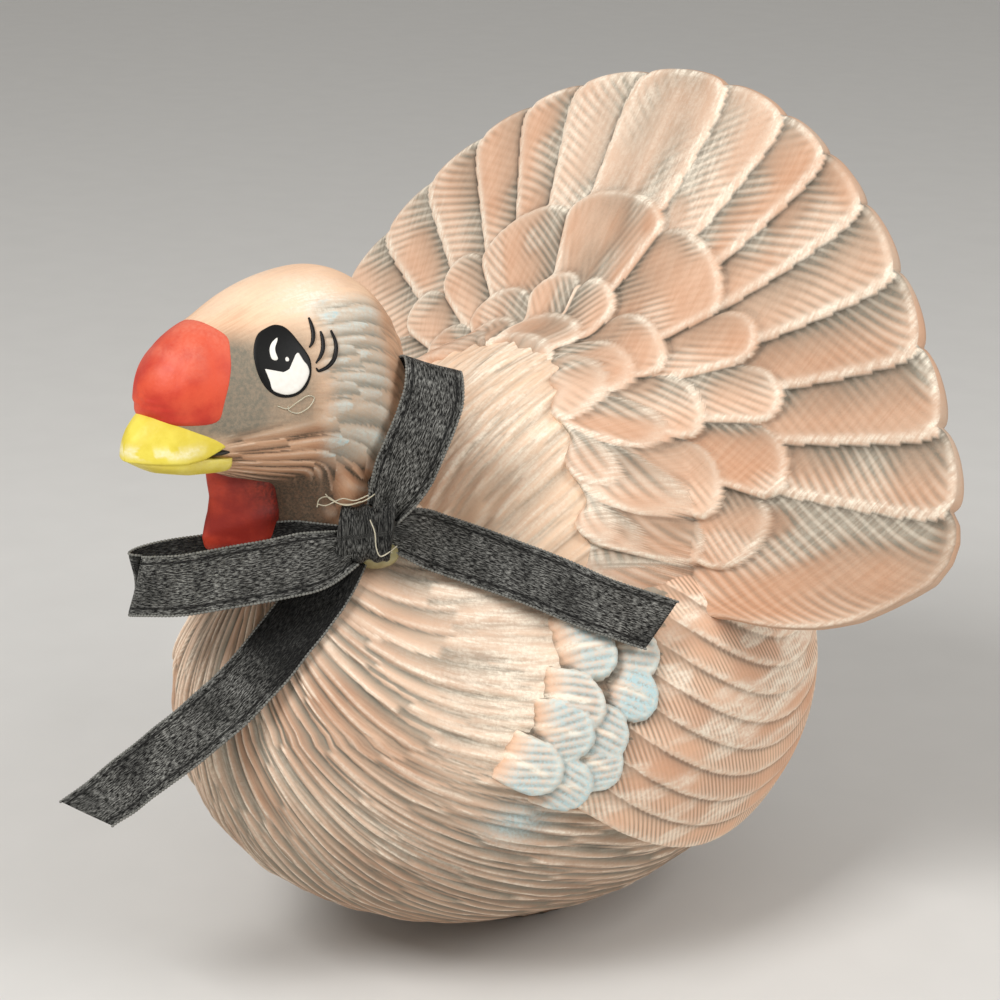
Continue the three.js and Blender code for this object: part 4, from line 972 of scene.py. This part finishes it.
# The beak is two halves of clay painted opaque yellow. A dark lump in the gap at the corner of the mouth
# is painted shade.
# The upper half is thick and hooks down a little at its tip, and the lower one is a thin lip.
beak_yellow = flesh_paint("beak_yellow", (234, 217, 84), (214, 192, 54), (246, 240, 206))
BEAK_ROOT, BEAK_LENGTH, BEAK_HALF = 69, 17.9, 8.9
MOUTH_REACH, MOUTH_PLACE = [8.95, 4.6, 1.15], [0, -73.2, 105.35]
beak_front = -BEAK_ROOT - BEAK_LENGTH * np.linspace(0, 1, 52) ** 0.8
beak_turns = round_turns(72)
beak_half = BEAK_HALF * unit(1 - unit((-71.5 - beak_front) / 15.45) ** 2.1) ** 0.62
beak_top = np.interp(
    -beak_front, [69, 76, 79, 81.4, 84, 85.8, 86.6, 86.9], [114, 114, 113.6, 112.7, 110.9, 109, 107.8, 106.6]
)
mouth = np.interp(-beak_front, [69, 72.5, 75, 77, 80, 86.9], [107.2, 106.8, 105.9, 105.2, 104.8, 105.2])
chin = np.interp(-beak_front, [69, 72.7, 77.9, 82.9, 85, 86.9], [100.6, 100.8, 101.3, 102.6, 103.9, 105.2])
beak_across, beak_upright = np.cos(beak_turns), np.sin(beak_turns)


def beak_rings(half, blunt, over, under):
    """Rings of one half of the beak from its half width and its heights over and under its middle."""
    wide = half[:, None] * np.sign(beak_across) * np.abs(beak_across) ** blunt
    heights = np.where(beak_upright > 0, over, under)
    return np.stack([wide, beak_front[:, None] * np.ones(len(beak_turns)), heights], axis=-1)


mouth_line, beak_rise = mouth[:, None], (beak_top - mouth)[:, None]
upper_rings = beak_rings(
    beak_half,
    0.9,
    mouth_line + beak_rise * np.abs(beak_upright) ** 1.25,
    mouth_line - 0.14 * beak_rise * np.abs(beak_upright) ** 0.8,
)
worn_line = peak(upper_rings[..., 2] - mouth_line - 1.4, 0.8) * unit((-upper_rings[..., 1] - 76) / 4)
upper_wear = unit(1.5 * worn_line * (clouds(upper_rings.shape[:2], (8, 14), 71) > 0.35))
beak_upper = ringed_piece("beak_upper", upper_rings, beak_yellow, {"chalk_and_shade": upper_wear})
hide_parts("beak_upper")
lip = np.minimum(mouth, np.interp(-beak_front, [69, 72.5, 77, 86.9], [104.2, 104.3, 104.9, 105.2])) - 0.12
lower_half = beak_half * np.interp(-beak_front, [69, 84, 86.9], [0.97, 0.93, 0.8])
lip_line = lip[:, None]
lower_under = lip_line - (lip - chin)[:, None] * np.abs(beak_upright) ** 0.7
lower_rings = beak_rings(lower_half, 0.75, lip_line, lower_under)[5:-3]
lower_wear = 0.3 * clouds(lower_rings.shape[:2], (6, 10), 72)
beak_lower = ringed_piece("beak_lower", lower_rings, beak_yellow, {"chalk_and_shade": lower_wear})
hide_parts("beak_lower")
# Painted shade: a dark flat lump fills the gap between the beak halves at the corner of the mouth.
mouth_shade_paint = flesh_paint("mouth_shade_paint", (34, 30, 26), (20, 18, 16), (70, 62, 50))
mouth_rings = lump_ways(24, 48) * MOUTH_REACH + MOUTH_PLACE
mouth_shade_lump = ringed_piece("mouth_shade_lump", mouth_rings, mouth_shade_paint)

# The eyes are painted on the head in layers: a black almond, a white corner, a white glint and a few
# lashes behind. Each layer is a thin raised patch of paint that follows the head.
EYE_LAYERS = [
    (
        "eye_black",
        0.16,
        [
            (-3.7, 5.1), (-2.4, 5.9), (-0.8, 6.4), (0.8, 5.9), (2.0, 4.6), (3.0, 2.9), (3.9, 1.3),
            (4.5, -0.2), (4.5, -1.7), (4.1, -3.3), (3.1, -4.9), (1.7, -5.9), (0.1, -6.3), (-1.6, -6.1),
            (-2.8, -5.4), (-3.6, -4.5), (-4.2, -3.3), (-4.6, -1.8), (-4.8, -0.1), (-4.8, 1.9), (-4.4, 3.7),
        ],
    ),
    (
        "eye_white",
        0.24,
        [
            (-3.2, -1.2), (-3.0, -2.3), (-2.8, -3.4), (-2.7, -4.6), (-1.9, -5.3), (-0.3, -5.8), (1.6, -5.4),
            (3.1, -4.1), (4.0, -2.5), (3.9, -1.3), (3.4, -0.5), (3.0, 0.4), (2.7, 0.9), (2.2, 0.6),
            (1.7, -0.5), (0.9, -1.5), (-0.3, -2.0), (-1.7, -2.0), (-2.6, -1.6),
        ],
    ),
    (
        "eye_glint",
        0.26,
        [
            (-0.5, 3.8), (-1.4, 3.1), (-1.9, 2.2), (-2.0, 1.2), (-1.8, 0.3), (-1.2, 0.0), (-0.8, 0.3),
            (-1.0, 1.1), (-1.0, 2.1), (-0.6, 3.0), (-0.4, 3.5),
        ],
    ),
    ("eye_spark", 0.26, [(0.4, 0.1), (0.7, 0.4), (1.0, 0.1), (0.9, -0.3), (0.5, -0.3)]),
]
LASHES = [
    [(5.6, 7.3), (5.8, 5.6), (5.8, 4.0), (5.4, 2.6), (4.7, 1.7)],
    [(7.2, 4.5), (7.3, 3.2), (7.1, 1.5), (6.4, 0.1), (5.4, -1.0)],
    [(9.2, 4.7), (9.6, 2.8), (9.5, 1.2), (8.8, -0.5), (7.5, -1.7), (5.8, -2.3), (5.3, -1.8)],
]
PATCH_SHARES = np.array([0.2, 0.4, 0.6, 0.8, 0.95, 1.0])
PATCH_DROPS = np.array([0, 0, 0, 0, 0, 0.08])
PATCH_EDGE, PATCH_FOOT, LASH_LIFT = -0.8, -1.0, 0.05
FAR_EYE_SHIFT = np.array([1.6, -0.9])
BRUSHED = {"Roughness": 0.45, "Specular IOR Level": 0.22}
FLECKS = (1400, 4)


def smooth_loop(points, steps, closed=True):
    """A smooth line through points."""
    knots = np.array(points, float)
    if closed:
        knots = np.vstack([knots[-1], knots, knots[:2]])
    else:
        knots = np.vstack([2 * knots[0] - knots[1], knots, 2 * knots[-1] - knots[-2]])
    line = []
    for a, b, c, d in zip(knots, knots[1:], knots[2:], knots[3:]):
        for t in np.arange(steps) / steps:
            square, cube = 2 * a - 5 * b + 4 * c - d, 3 * b - a - 3 * c + d
            line.append(0.5 * (2 * b + (c - a) * t + square * t**2 + cube * t**3))
    if not closed:
        line.append(knots[-2])
    return np.array(line)


def on_head(flat, lift, side):
    """Places of the painted eye's own plane, dropped on the head and lifted off it."""
    flat = flat + (FAR_EYE_SHIFT if side < 0 else 0)
    spot = EYE_PLACE + flat[..., :1] * EYE_ACROSS + flat[..., 1:] * EYE_UP - HEAD_CENTRE
    way = straight(spot)
    return (HEAD_CENTRE + way * (head_reach(way) + lift)[..., None]) * [side, 1, 1]


black_paint = speckled("black_paint", (8, 8, 8), (20, 19, 18), FLECKS, BRUSHED)
white_paint = speckled("white_paint", (246, 243, 236), (228, 222, 212), FLECKS, BRUSHED)
for side, hand in ((1, "left"), (-1, "right")):
    for layer_name, lift, outline in EYE_LAYERS:
        loop = smooth_loop(outline, 6)
        middle = loop.mean(axis=0)
        patch = middle + PATCH_SHARES[:, None, None] * (loop - middle)
        rings = on_head(patch, (lift - PATCH_DROPS)[:, None] * np.ones(len(loop)), side)
        under = on_head(loop[None], np.full((1, len(loop)), PATCH_EDGE), side)
        ends = [on_head(middle[None], np.array([height]), side)[0] for height in (lift, PATCH_FOOT)]
        paint = black_paint if layer_name == "eye_black" else white_paint
        patch_piece = ringed_piece(f"{layer_name}_{hand}", np.concatenate([rings, under]), paint, ends=ends)


def path_mesh(name, lines, radii):
    """Edges along lines in millimetres, each point with its own radius."""
    mesh = bpy.data.meshes.new(name)
    points, edges, sizes = [], [], []
    for line, sizes_here in zip(lines, radii):
        edges += [(len(points) + step, len(points) + step + 1) for step in range(len(line) - 1)]
        points += [tuple(p * MM) for p in line]
        sizes += list(np.array(sizes_here) * MM)
    mesh.from_pydata(points, edges, [])
    carry(mesh, "thread_radius", sizes)
    return mesh


def shape_tree(name, inputs):
    """A node tree that shapes edges, with what it is given."""
    tree = bpy.data.node_groups.new(name, "GeometryNodeTree")
    for label, kind in (("Geometry", "Geometry"), *inputs, ("Material", "Material")):
        tree.interface.new_socket(label, in_out="INPUT", socket_type=f"NodeSocket{kind}")
    tree.interface.new_socket("Geometry", in_out="OUTPUT", socket_type="NodeSocketGeometry")
    return tree, add(tree, "NodeGroupInput", {}).outputs


def coat(tree, made, material):
    """Ends a tree with its shape made real and given a material."""
    real = add(tree, "GeometryNodeRealizeInstances", {"Geometry": made}).outputs["Geometry"]
    dressed = add(tree, "GeometryNodeSetMaterial", {"Geometry": real, "Material": material})
    add(tree, "NodeGroupOutput", {"Geometry": dressed.outputs["Geometry"]})


def grow(name, mesh, tree, values):
    """A plain mesh piece from a node tree with its inputs set."""
    piece = put(name, mesh)
    modifier = piece.modifiers.new("shape", "NODES")
    modifier.node_group = tree
    for item in tree.interface.items_tree:
        if item.in_out == "INPUT" and item.name in values:
            modifier[item.identifier] = values[item.name]
    shape(piece)
    piece.data.shade_smooth()
    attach(piece, "root")
    return piece


threads, given = shape_tree("round_threads", [("Sides", "Int")])
path = add(threads, "GeometryNodeMeshToCurve", {"Mesh": given["Geometry"]}).outputs["Curve"]
radius = add(threads, "GeometryNodeInputNamedAttribute", {"Name": "thread_radius"}, data_type="FLOAT")
radius = radius.outputs["Attribute"]
thick = add(threads, "GeometryNodeSetCurveRadius", {"Curve": path, "Radius": radius}).outputs["Curve"]
profile = add(threads, "GeometryNodeCurvePrimitiveCircle", {"Resolution": given["Sides"], "Radius": 1})
tube_inputs = {"Curve": thick, "Profile Curve": profile.outputs["Curve"], "Scale": radius, "Fill Caps": True}
tube = add(threads, "GeometryNodeCurveToMesh", tube_inputs)
coat(threads, tube.outputs["Mesh"], given["Material"])
for side, hand in ((1, "left"), (-1, "right")):
    lash_lines = [smooth_loop(lash, 8, closed=False) for lash in LASHES]
    lash_paths = [on_head(line, np.full(len(line), LASH_LIFT), side) for line in lash_lines]
    lash_steps = [0.1 + 0.85 * np.linspace(0, 1, len(line)) for line in lash_lines]
    lash_mesh = path_mesh("lashes", lash_paths, [0.08 + 0.3 * np.sin(math.pi * step) for step in lash_steps])
    lashes = grow(f"lashes_{hand}", lash_mesh, threads, {"Sides": 8, "Material": black_paint})

# The bow is one length of black satin ribbon, 10 mm wide, tied round itself and set on the left of the
# neck. Its loops and tails are thin woven strips that keep their width, pinched where the knot holds them.
BOW_CENTRE = np.array([16.14, -49.93, 87.85])
BOW_RIGHT = np.array([0.7071, 0.7071, 0])
BOW_UP = np.array([-0.2185, 0.2185, 0.951])
BOW_FRONT = np.array([0.6725, -0.6725, 0.309])
RIBBON_WIDTH, RIBBON_THICK, RIBBON_STEPS = 10, 0.36, 21
HEM_PLACE = 3.85
PINCH_LENGTH = 9
RIBBONS = [
    (
        "bow_loop_left",
        [
            (-2.5, -2.5, 1.4), (-9, -4.7, 5.4), (-22, -7.2, 8), (-33, -9, 7), (-38.5, -10, 3),
            (-33, -8, -0.8), (-22, -6.2, -0.6), (-9, -3.4, 1.8), (-2.5, -1.8, 0.4),
        ],
        [(0.15, 1, -0.25), (0.15, 1, -0.1)],
        {"seed": 81, "held_ends": (1, 1), "shift": 1.8},
        ("folded", "bow_knot"),
    ),
    (
        "bow_loop_right",
        [
            (3, 3.4, 1.2), (6, 9, 3.8), (9.6, 17, 5.4), (12.2, 24.5, 4.4), (13.4, 27.6, 0.8),
            (12, 24, -3), (9.4, 17, -3.6), (6, 9, -1.6), (3, 3.4, 0),
        ],
        [(1, -0.3, 0.15), (1, -0.3, -0.15)],
        {"seed": 82, "held_ends": (1, 1), "shift": -3.2},
        ("folded", "bow_knot"),
    ),
    (
        "bow_tail_left",
        [
            (-2.5, -3.4, -0.6), (-7, -9, 0.6), (-12, -15.5, 1.8), (-17.5, -22.5, 2.6), (-25, -30, 2.2),
            (-36, -38.8, -1.4), (-47.5, -47.6, -5.4),
        ],
        [(1, -0.5, 0.2), (0.6, -0.75, 0.6)],
        # The left tail is darkened near the knot, under its loop, as painted shade.
        {"slant": -0.75, "seed": 83, "shaded": 0.85},
        ("hung", "bow_knot"),
    ),
    (
        "bow_tail_right",
        [
            (3, 0.6, -0.8), (8, -0.2, -2.8), (13, -2, -5.8), (22, -5.2, -8), (31, -8.6, -7.8),
            (40, -12.4, -7.6), (50.2, -15.8, -10),
        ],
        [(0.1, 1, -0.2), (0.3, 1, -0.45)],
        {"slant": 0.4, "seed": 84},
        ("laid", "wing_left"),
    ),
]


def satin():
    """Black satin: a close weave with floats along the ribbon, a soft sheen, grey floats as painted
    highlights in long patches of painted sheen, and painted shade where a piece marks it.
    """
    made, tree, shader = new_material("black_satin")
    across = mark(tree, "across")
    cloth = add(tree, "ShaderNodeCombineXYZ", {"X": across, "Y": mark(tree, "along")}).outputs["Vector"]
    drawn = add(tree, "ShaderNodeMapping", {"Vector": cloth, "Scale": (5.0, 0.95, 1)}).outputs["Vector"]
    floats = spread(tree, noise(tree, 1.0, 3, 0.7, drawn), (0.4, 0.72))
    slant = {"Vector": cloth, "Scale": 1.15, "Distortion": 1.5, "Detail": 2}
    weave = add(tree, "ShaderNodeTexWave", slant, wave_type="BANDS", bands_direction="DIAGONAL")
    relief = reckon(tree, "MULTIPLY_ADD", weave.outputs["Fac"], 0.4, floats, clamp=False)
    # Painted sheen: the floats turn grey, as painted highlights, in long patches along the ribbon.
    painted_sheen = spread(tree, noise(tree, 0.16, 1, vector=cloth), (0.3, 0.7), (0.4, 1.1), soft=False)
    shade = layer(tree, colour(6, 6, 5), colour(164, 163, 157), reckon(tree, "MULTIPLY", floats, painted_sheen))
    beside = reckon(tree, "ABSOLUTE", across, clamp=False)
    beside = reckon(tree, "SUBTRACT", beside, HEM_PLACE, clamp=False)
    beside = reckon(tree, "ABSOLUTE", beside, clamp=False)
    hem = spread(tree, beside, (0, 0.4), (0.85, 0))
    # The painted shade and the dark line at the hem both turn the colour back to black.
    darker = reckon(tree, "MAXIMUM", mark(tree, "painted_shade"), hem, clamp=False)
    finish = {
        "Base Color": layer(tree, shade, colour(7, 7, 7), darker),
        "Normal": bump(tree, relief, 0.5, 0.0003),
        "Roughness": 0.46,
        "Specular IOR Level": 0.12,
        "Sheen Weight": 0.015,
        "Sheen Roughness": 0.35,
    }
    feed(tree, shader, finish)
    return made


def bow_way(parts):
    """Directions from the bow's own right, up and front."""
    return parts[..., :1] * BOW_RIGHT + parts[..., 1:2] * BOW_UP + parts[..., 2:] * BOW_FRONT


def bow_place(points):
    """Places from the bow's own right, up and front, in millimetres from the knot."""
    return BOW_CENTRE + bow_way(np.asarray(points, float))


black_satin = satin()
selvages = []


def ribbon(name, route, lays, slant=0.0, seed=0, held_ends=(1, 0), shift=0.0, shaded=0.0):
    """A strip of ribbon along a route, turning from one lay to another, gathered at the ends in the knot."""
    line = smooth_loop(bow_place(route), 16, closed=False)
    run = run_along(line)
    count = max(60, int(run[-1] / 0.55))
    even = np.linspace(0, run[-1], count)
    line = np.array([np.interp(even, run, line[:, axis]) for axis in range(3)]).T
    share = even / run[-1]
    ahead = straight(np.gradient(line, axis=0))
    first_lay, last_lay = np.array(lays, float)
    lay = bow_way(first_lay + (last_lay - first_lay) * share[:, None])
    lay = straight(lay - np.sum(lay * ahead, axis=1, keepdims=True) * ahead)
    face = np.cross(ahead, lay)
    pinch = held_ends[0] * unit(1 - even / PINCH_LENGTH) ** 1.5
    pinch = np.maximum(pinch, held_ends[1] * unit(1 - (run[-1] - even) / PINCH_LENGTH) ** 1.5)
    width = RIBBON_WIDTH * (1 - 0.4 * pinch)
    steps = np.linspace(-0.5, 0.5, RIBBON_STEPS)
    rng = np.random.default_rng(seed)
    waves = np.zeros((count, RIBBON_STEPS))
    for _ in range(3):
        waves += rng.uniform(0.1, 0.22) * np.sin(
            2 * math.pi * (even[:, None] / rng.uniform(9, 17) + rng.uniform(-0.5, 0.5) * steps + rng.random())
        )
    folds = 0.75 * pinch[:, None] * np.cos(2 * math.pi * 2.5 * steps + seed)
    crown = 0.105 * np.cos(2 * math.pi * steps)[None, :]
    bow = waves * unit(share * 5)[:, None] * 0.8 + folds + crown
    cut = slant * RIBBON_WIDTH * steps[None, :] * unit((share - 0.8) / 0.2)[:, None]
    slide = shift * ease(unit((share - 0.36) / 0.2) * unit((1 - share) / 0.2))
    sheet = line[:, None] + lay[:, None] * (width[:, None] * steps + slide[:, None])[..., None]
    sheet = sheet + face[:, None] * bow[..., None] + ahead[:, None] * cut[..., None]
    half = RIBBON_THICK / 2 * np.array([0.55] + [1] * (RIBBON_STEPS - 2) + [0.55])
    front = sheet + face[:, None] * half[None, :, None]
    behind = sheet - face[:, None] * half[None, :, None]
    rings = np.concatenate([front, behind[:, ::-1]], axis=1)
    around = np.concatenate([steps, steps[::-1]]) * RIBBON_WIDTH
    # Painted shade: one face of every loop and tail is darkened all along, and a shaded tail is also darkened
    # over the start of its run.
    painted_shade = np.repeat([0.75, 0] if held_ends[1] else [0, 0.75], RIBBON_STEPS)
    painted_shade = np.maximum(painted_shade, shaded * ease((0.46 - share) / 0.14)[:, None])
    along = even[:, None] * np.ones(2 * RIBBON_STEPS)
    fields = {"across": np.ones((count, 1)) * around, "along": along, "painted_shade": painted_shade}
    selvages.extend([sheet[:, 0], sheet[:, -1]])
    return ringed_piece(name, rings, black_satin, fields), run[-1]


for name, route, lays, making, (held, under) in RIBBONS:
    strip, run = ribbon(name, route, lays, **making)
    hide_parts(name)

# The selvages are the ribbon's bound edges: a row of tight stitches in the same black thread along both
# sides of every loop and tail.
stitch_inputs = [(size, "Float") for size in ("Pitch", "Length", "Thickness")]
stitches, given = shape_tree("selvage_stitches", stitch_inputs)
path = add(stitches, "GeometryNodeMeshToCurve", {"Mesh": given["Geometry"]}).outputs["Curve"]
spaced = add(stitches, "GeometryNodeResampleCurve", {"Curve": path, "Length": given["Pitch"]}, mode="LENGTH")
tangent = add(stitches, "GeometryNodeInputTangent", {}).outputs["Tangent"]
turned = add(stitches, "FunctionNodeAlignEulerToVector", {"Vector": tangent}, axis="Z")
stitch = add(stitches, "GeometryNodeMeshUVSphere", {"Segments": 6, "Rings": 4, "Radius": 0.5})
stitch_size = {"X": given["Thickness"], "Y": given["Thickness"], "Z": given["Length"]}
sewn = {
    "Points": spaced.outputs["Curve"],
    "Instance": stitch.outputs["Mesh"],
    "Rotation": turned.outputs["Rotation"],
    "Scale": add(stitches, "ShaderNodeCombineXYZ", stitch_size).outputs["Vector"],
}
placed = add(stitches, "GeometryNodeInstanceOnPoints", sewn)
coat(stitches, placed.outputs["Instances"], given["Material"])
selvage_thread = speckled("selvage_thread", (40, 40, 38), (150, 149, 142), FLECKS, BRUSHED)
selvage_edges = path_mesh("selvage", selvages, [np.ones(len(line)) for line in selvages])
stitch_sizes = {"Pitch": 0.62 * MM, "Length": 0.7 * MM, "Thickness": 0.52 * MM, "Material": selvage_thread}
selvage = grow("bow_selvage", selvage_edges, stitches, stitch_sizes)

# The knot is the ribbon's own turn round the crossing. It is pulled tight, so the satin is gathered
# into upright pleats and bulges between the loops.
KNOT_HALF, KNOT_TALL, KNOT_DEEP = 4.7, 5.5, 3.0
knot_reach = np.linspace(-1, 1, 44)
knot_turns = round_turns(90)
knot_up = np.sign(np.sin(knot_turns)) * np.abs(np.sin(knot_turns)) ** 0.7
knot_front = np.sign(np.cos(knot_turns)) * np.abs(np.cos(knot_turns)) ** 0.7
waist = 0.86 + 0.14 * knot_reach**2 - 0.1 * unit(np.abs(knot_reach) - 0.9) / 0.1
knot_wander = 2.2 * clouds((44, 90), (4, 7), 91)
pleats = np.cos(knot_reach[:, None] * 3.1 * math.pi + 0.7 * np.sin(knot_turns) + knot_wander)
pleats = 0.3 * pleats * (1 - np.abs(knot_reach[:, None]) ** 4)
right_part = KNOT_HALF * knot_reach[:, None] + 0.12 * KNOT_TALL * knot_up
up_part = (KNOT_TALL * waist[:, None] + pleats) * knot_up + 0.54 * knot_reach[:, None]
front_part = (KNOT_DEEP * waist[:, None] + pleats) * knot_front + 0.3
knot_rings = bow_place(np.stack([right_part, up_part, front_part], axis=-1))
knot_along = np.ones((44, 1)) * knot_turns * 4
# Painted shade darkens the whole knot.
knot_fields = {"across": right_part, "along": knot_along, "painted_shade": np.full((44, 90), 0.45)}
knot = ringed_piece("bow_knot", knot_rings, black_satin, knot_fields)
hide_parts("bow_knot")

# The glue is a set bead of clear hot glue between the knot and the neck, yellowed and dusty. Fine strings
# of it were drawn over the knot, above it and on the cheek as the bow was pressed on.
CLEAR = {"Roughness": 0.22, "Transmission Weight": 0.35, "IOR": 1.48}
STRING_RADIUS, SMEAR_LIFT = 0.11, 0.08
glue_lump = speckled("glue_lump", (146, 134, 76), (206, 196, 150), (500,), CLEAR)
glue_thread = speckled("glue_thread", (206, 196, 166), (238, 230, 208), (500,), CLEAR)
bead_ways = lump_ways(40, 56)
bead_bumps = 1 + 0.16 * (soften(clouds((40, 56), (6, 8), 95), 3, 3) - 0.5)
bead_parts = [4.1 * bead_ways[..., 0] + 1.5, 2.5 * bead_ways[..., 2] - 3.5, -3.0 * bead_ways[..., 1] - 2.0]
bead_rings = bow_place(np.stack(bead_parts, axis=-1) * bead_bumps[..., None])
bead = ringed_piece("glue_bead", bead_rings, glue_lump)
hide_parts("glue_bead")
GLUE_STRINGS = [
    [
        (0.9, 2.3, 3.5), (1.7, 0.2, 3.8), (1.9, -2.1, 3.7), (2.5, -3.7, 3.4), (3.6, -3.4, 3.0),
        (5.3, -2.1, 1.4),
    ],
    [
        (-8.0, 4.4, 2.3), (-7.6, 5.7, 2.5), (-6.2, 6.1, 2.6), (-4.3, 5.0, 2.4), (-2.0, 4.9, 2.5),
        (0.2, 5.6, 2.3), (2.6, 7.3, 1.6),
    ],
    [(-7.9, 4.9, 2.3), (-6.4, 4.7, 2.5), (-3.8, 5.8, 2.5), (-1.7, 5.5, 2.7), (0.6, 6.4, 2.4)],
    [(-6.6, 6.6, 2.5), (-5.6, 5.6, 2.6), (-3.2, 4.7, 2.7), (-0.6, 5.3, 2.6)],
]
GLUE_SMEAR = [
    (-2.5, -7.6), (-0.9, -8.3), (0.9, -7.4), (3.0, -6.4), (4.2, -6.9), (3.0, -8.5), (0.9, -9.4),
    (-0.6, -8.8), (-0.7, -7.8),
]
string_lines = [smooth_loop(bow_place(line), 10, closed=False) for line in GLUE_STRINGS]
smear = smooth_loop(GLUE_SMEAR, 8, closed=False)
string_lines.append(on_head(smear, np.full(len(smear), SMEAR_LIFT), 1))
string_sizes = [np.full(len(line), STRING_RADIUS) for line in string_lines]
string_mesh = path_mesh("glue_strings", string_lines, string_sizes)
strings = grow("glue_strings", string_mesh, threads, {"Sides": 6, "Material": glue_thread})
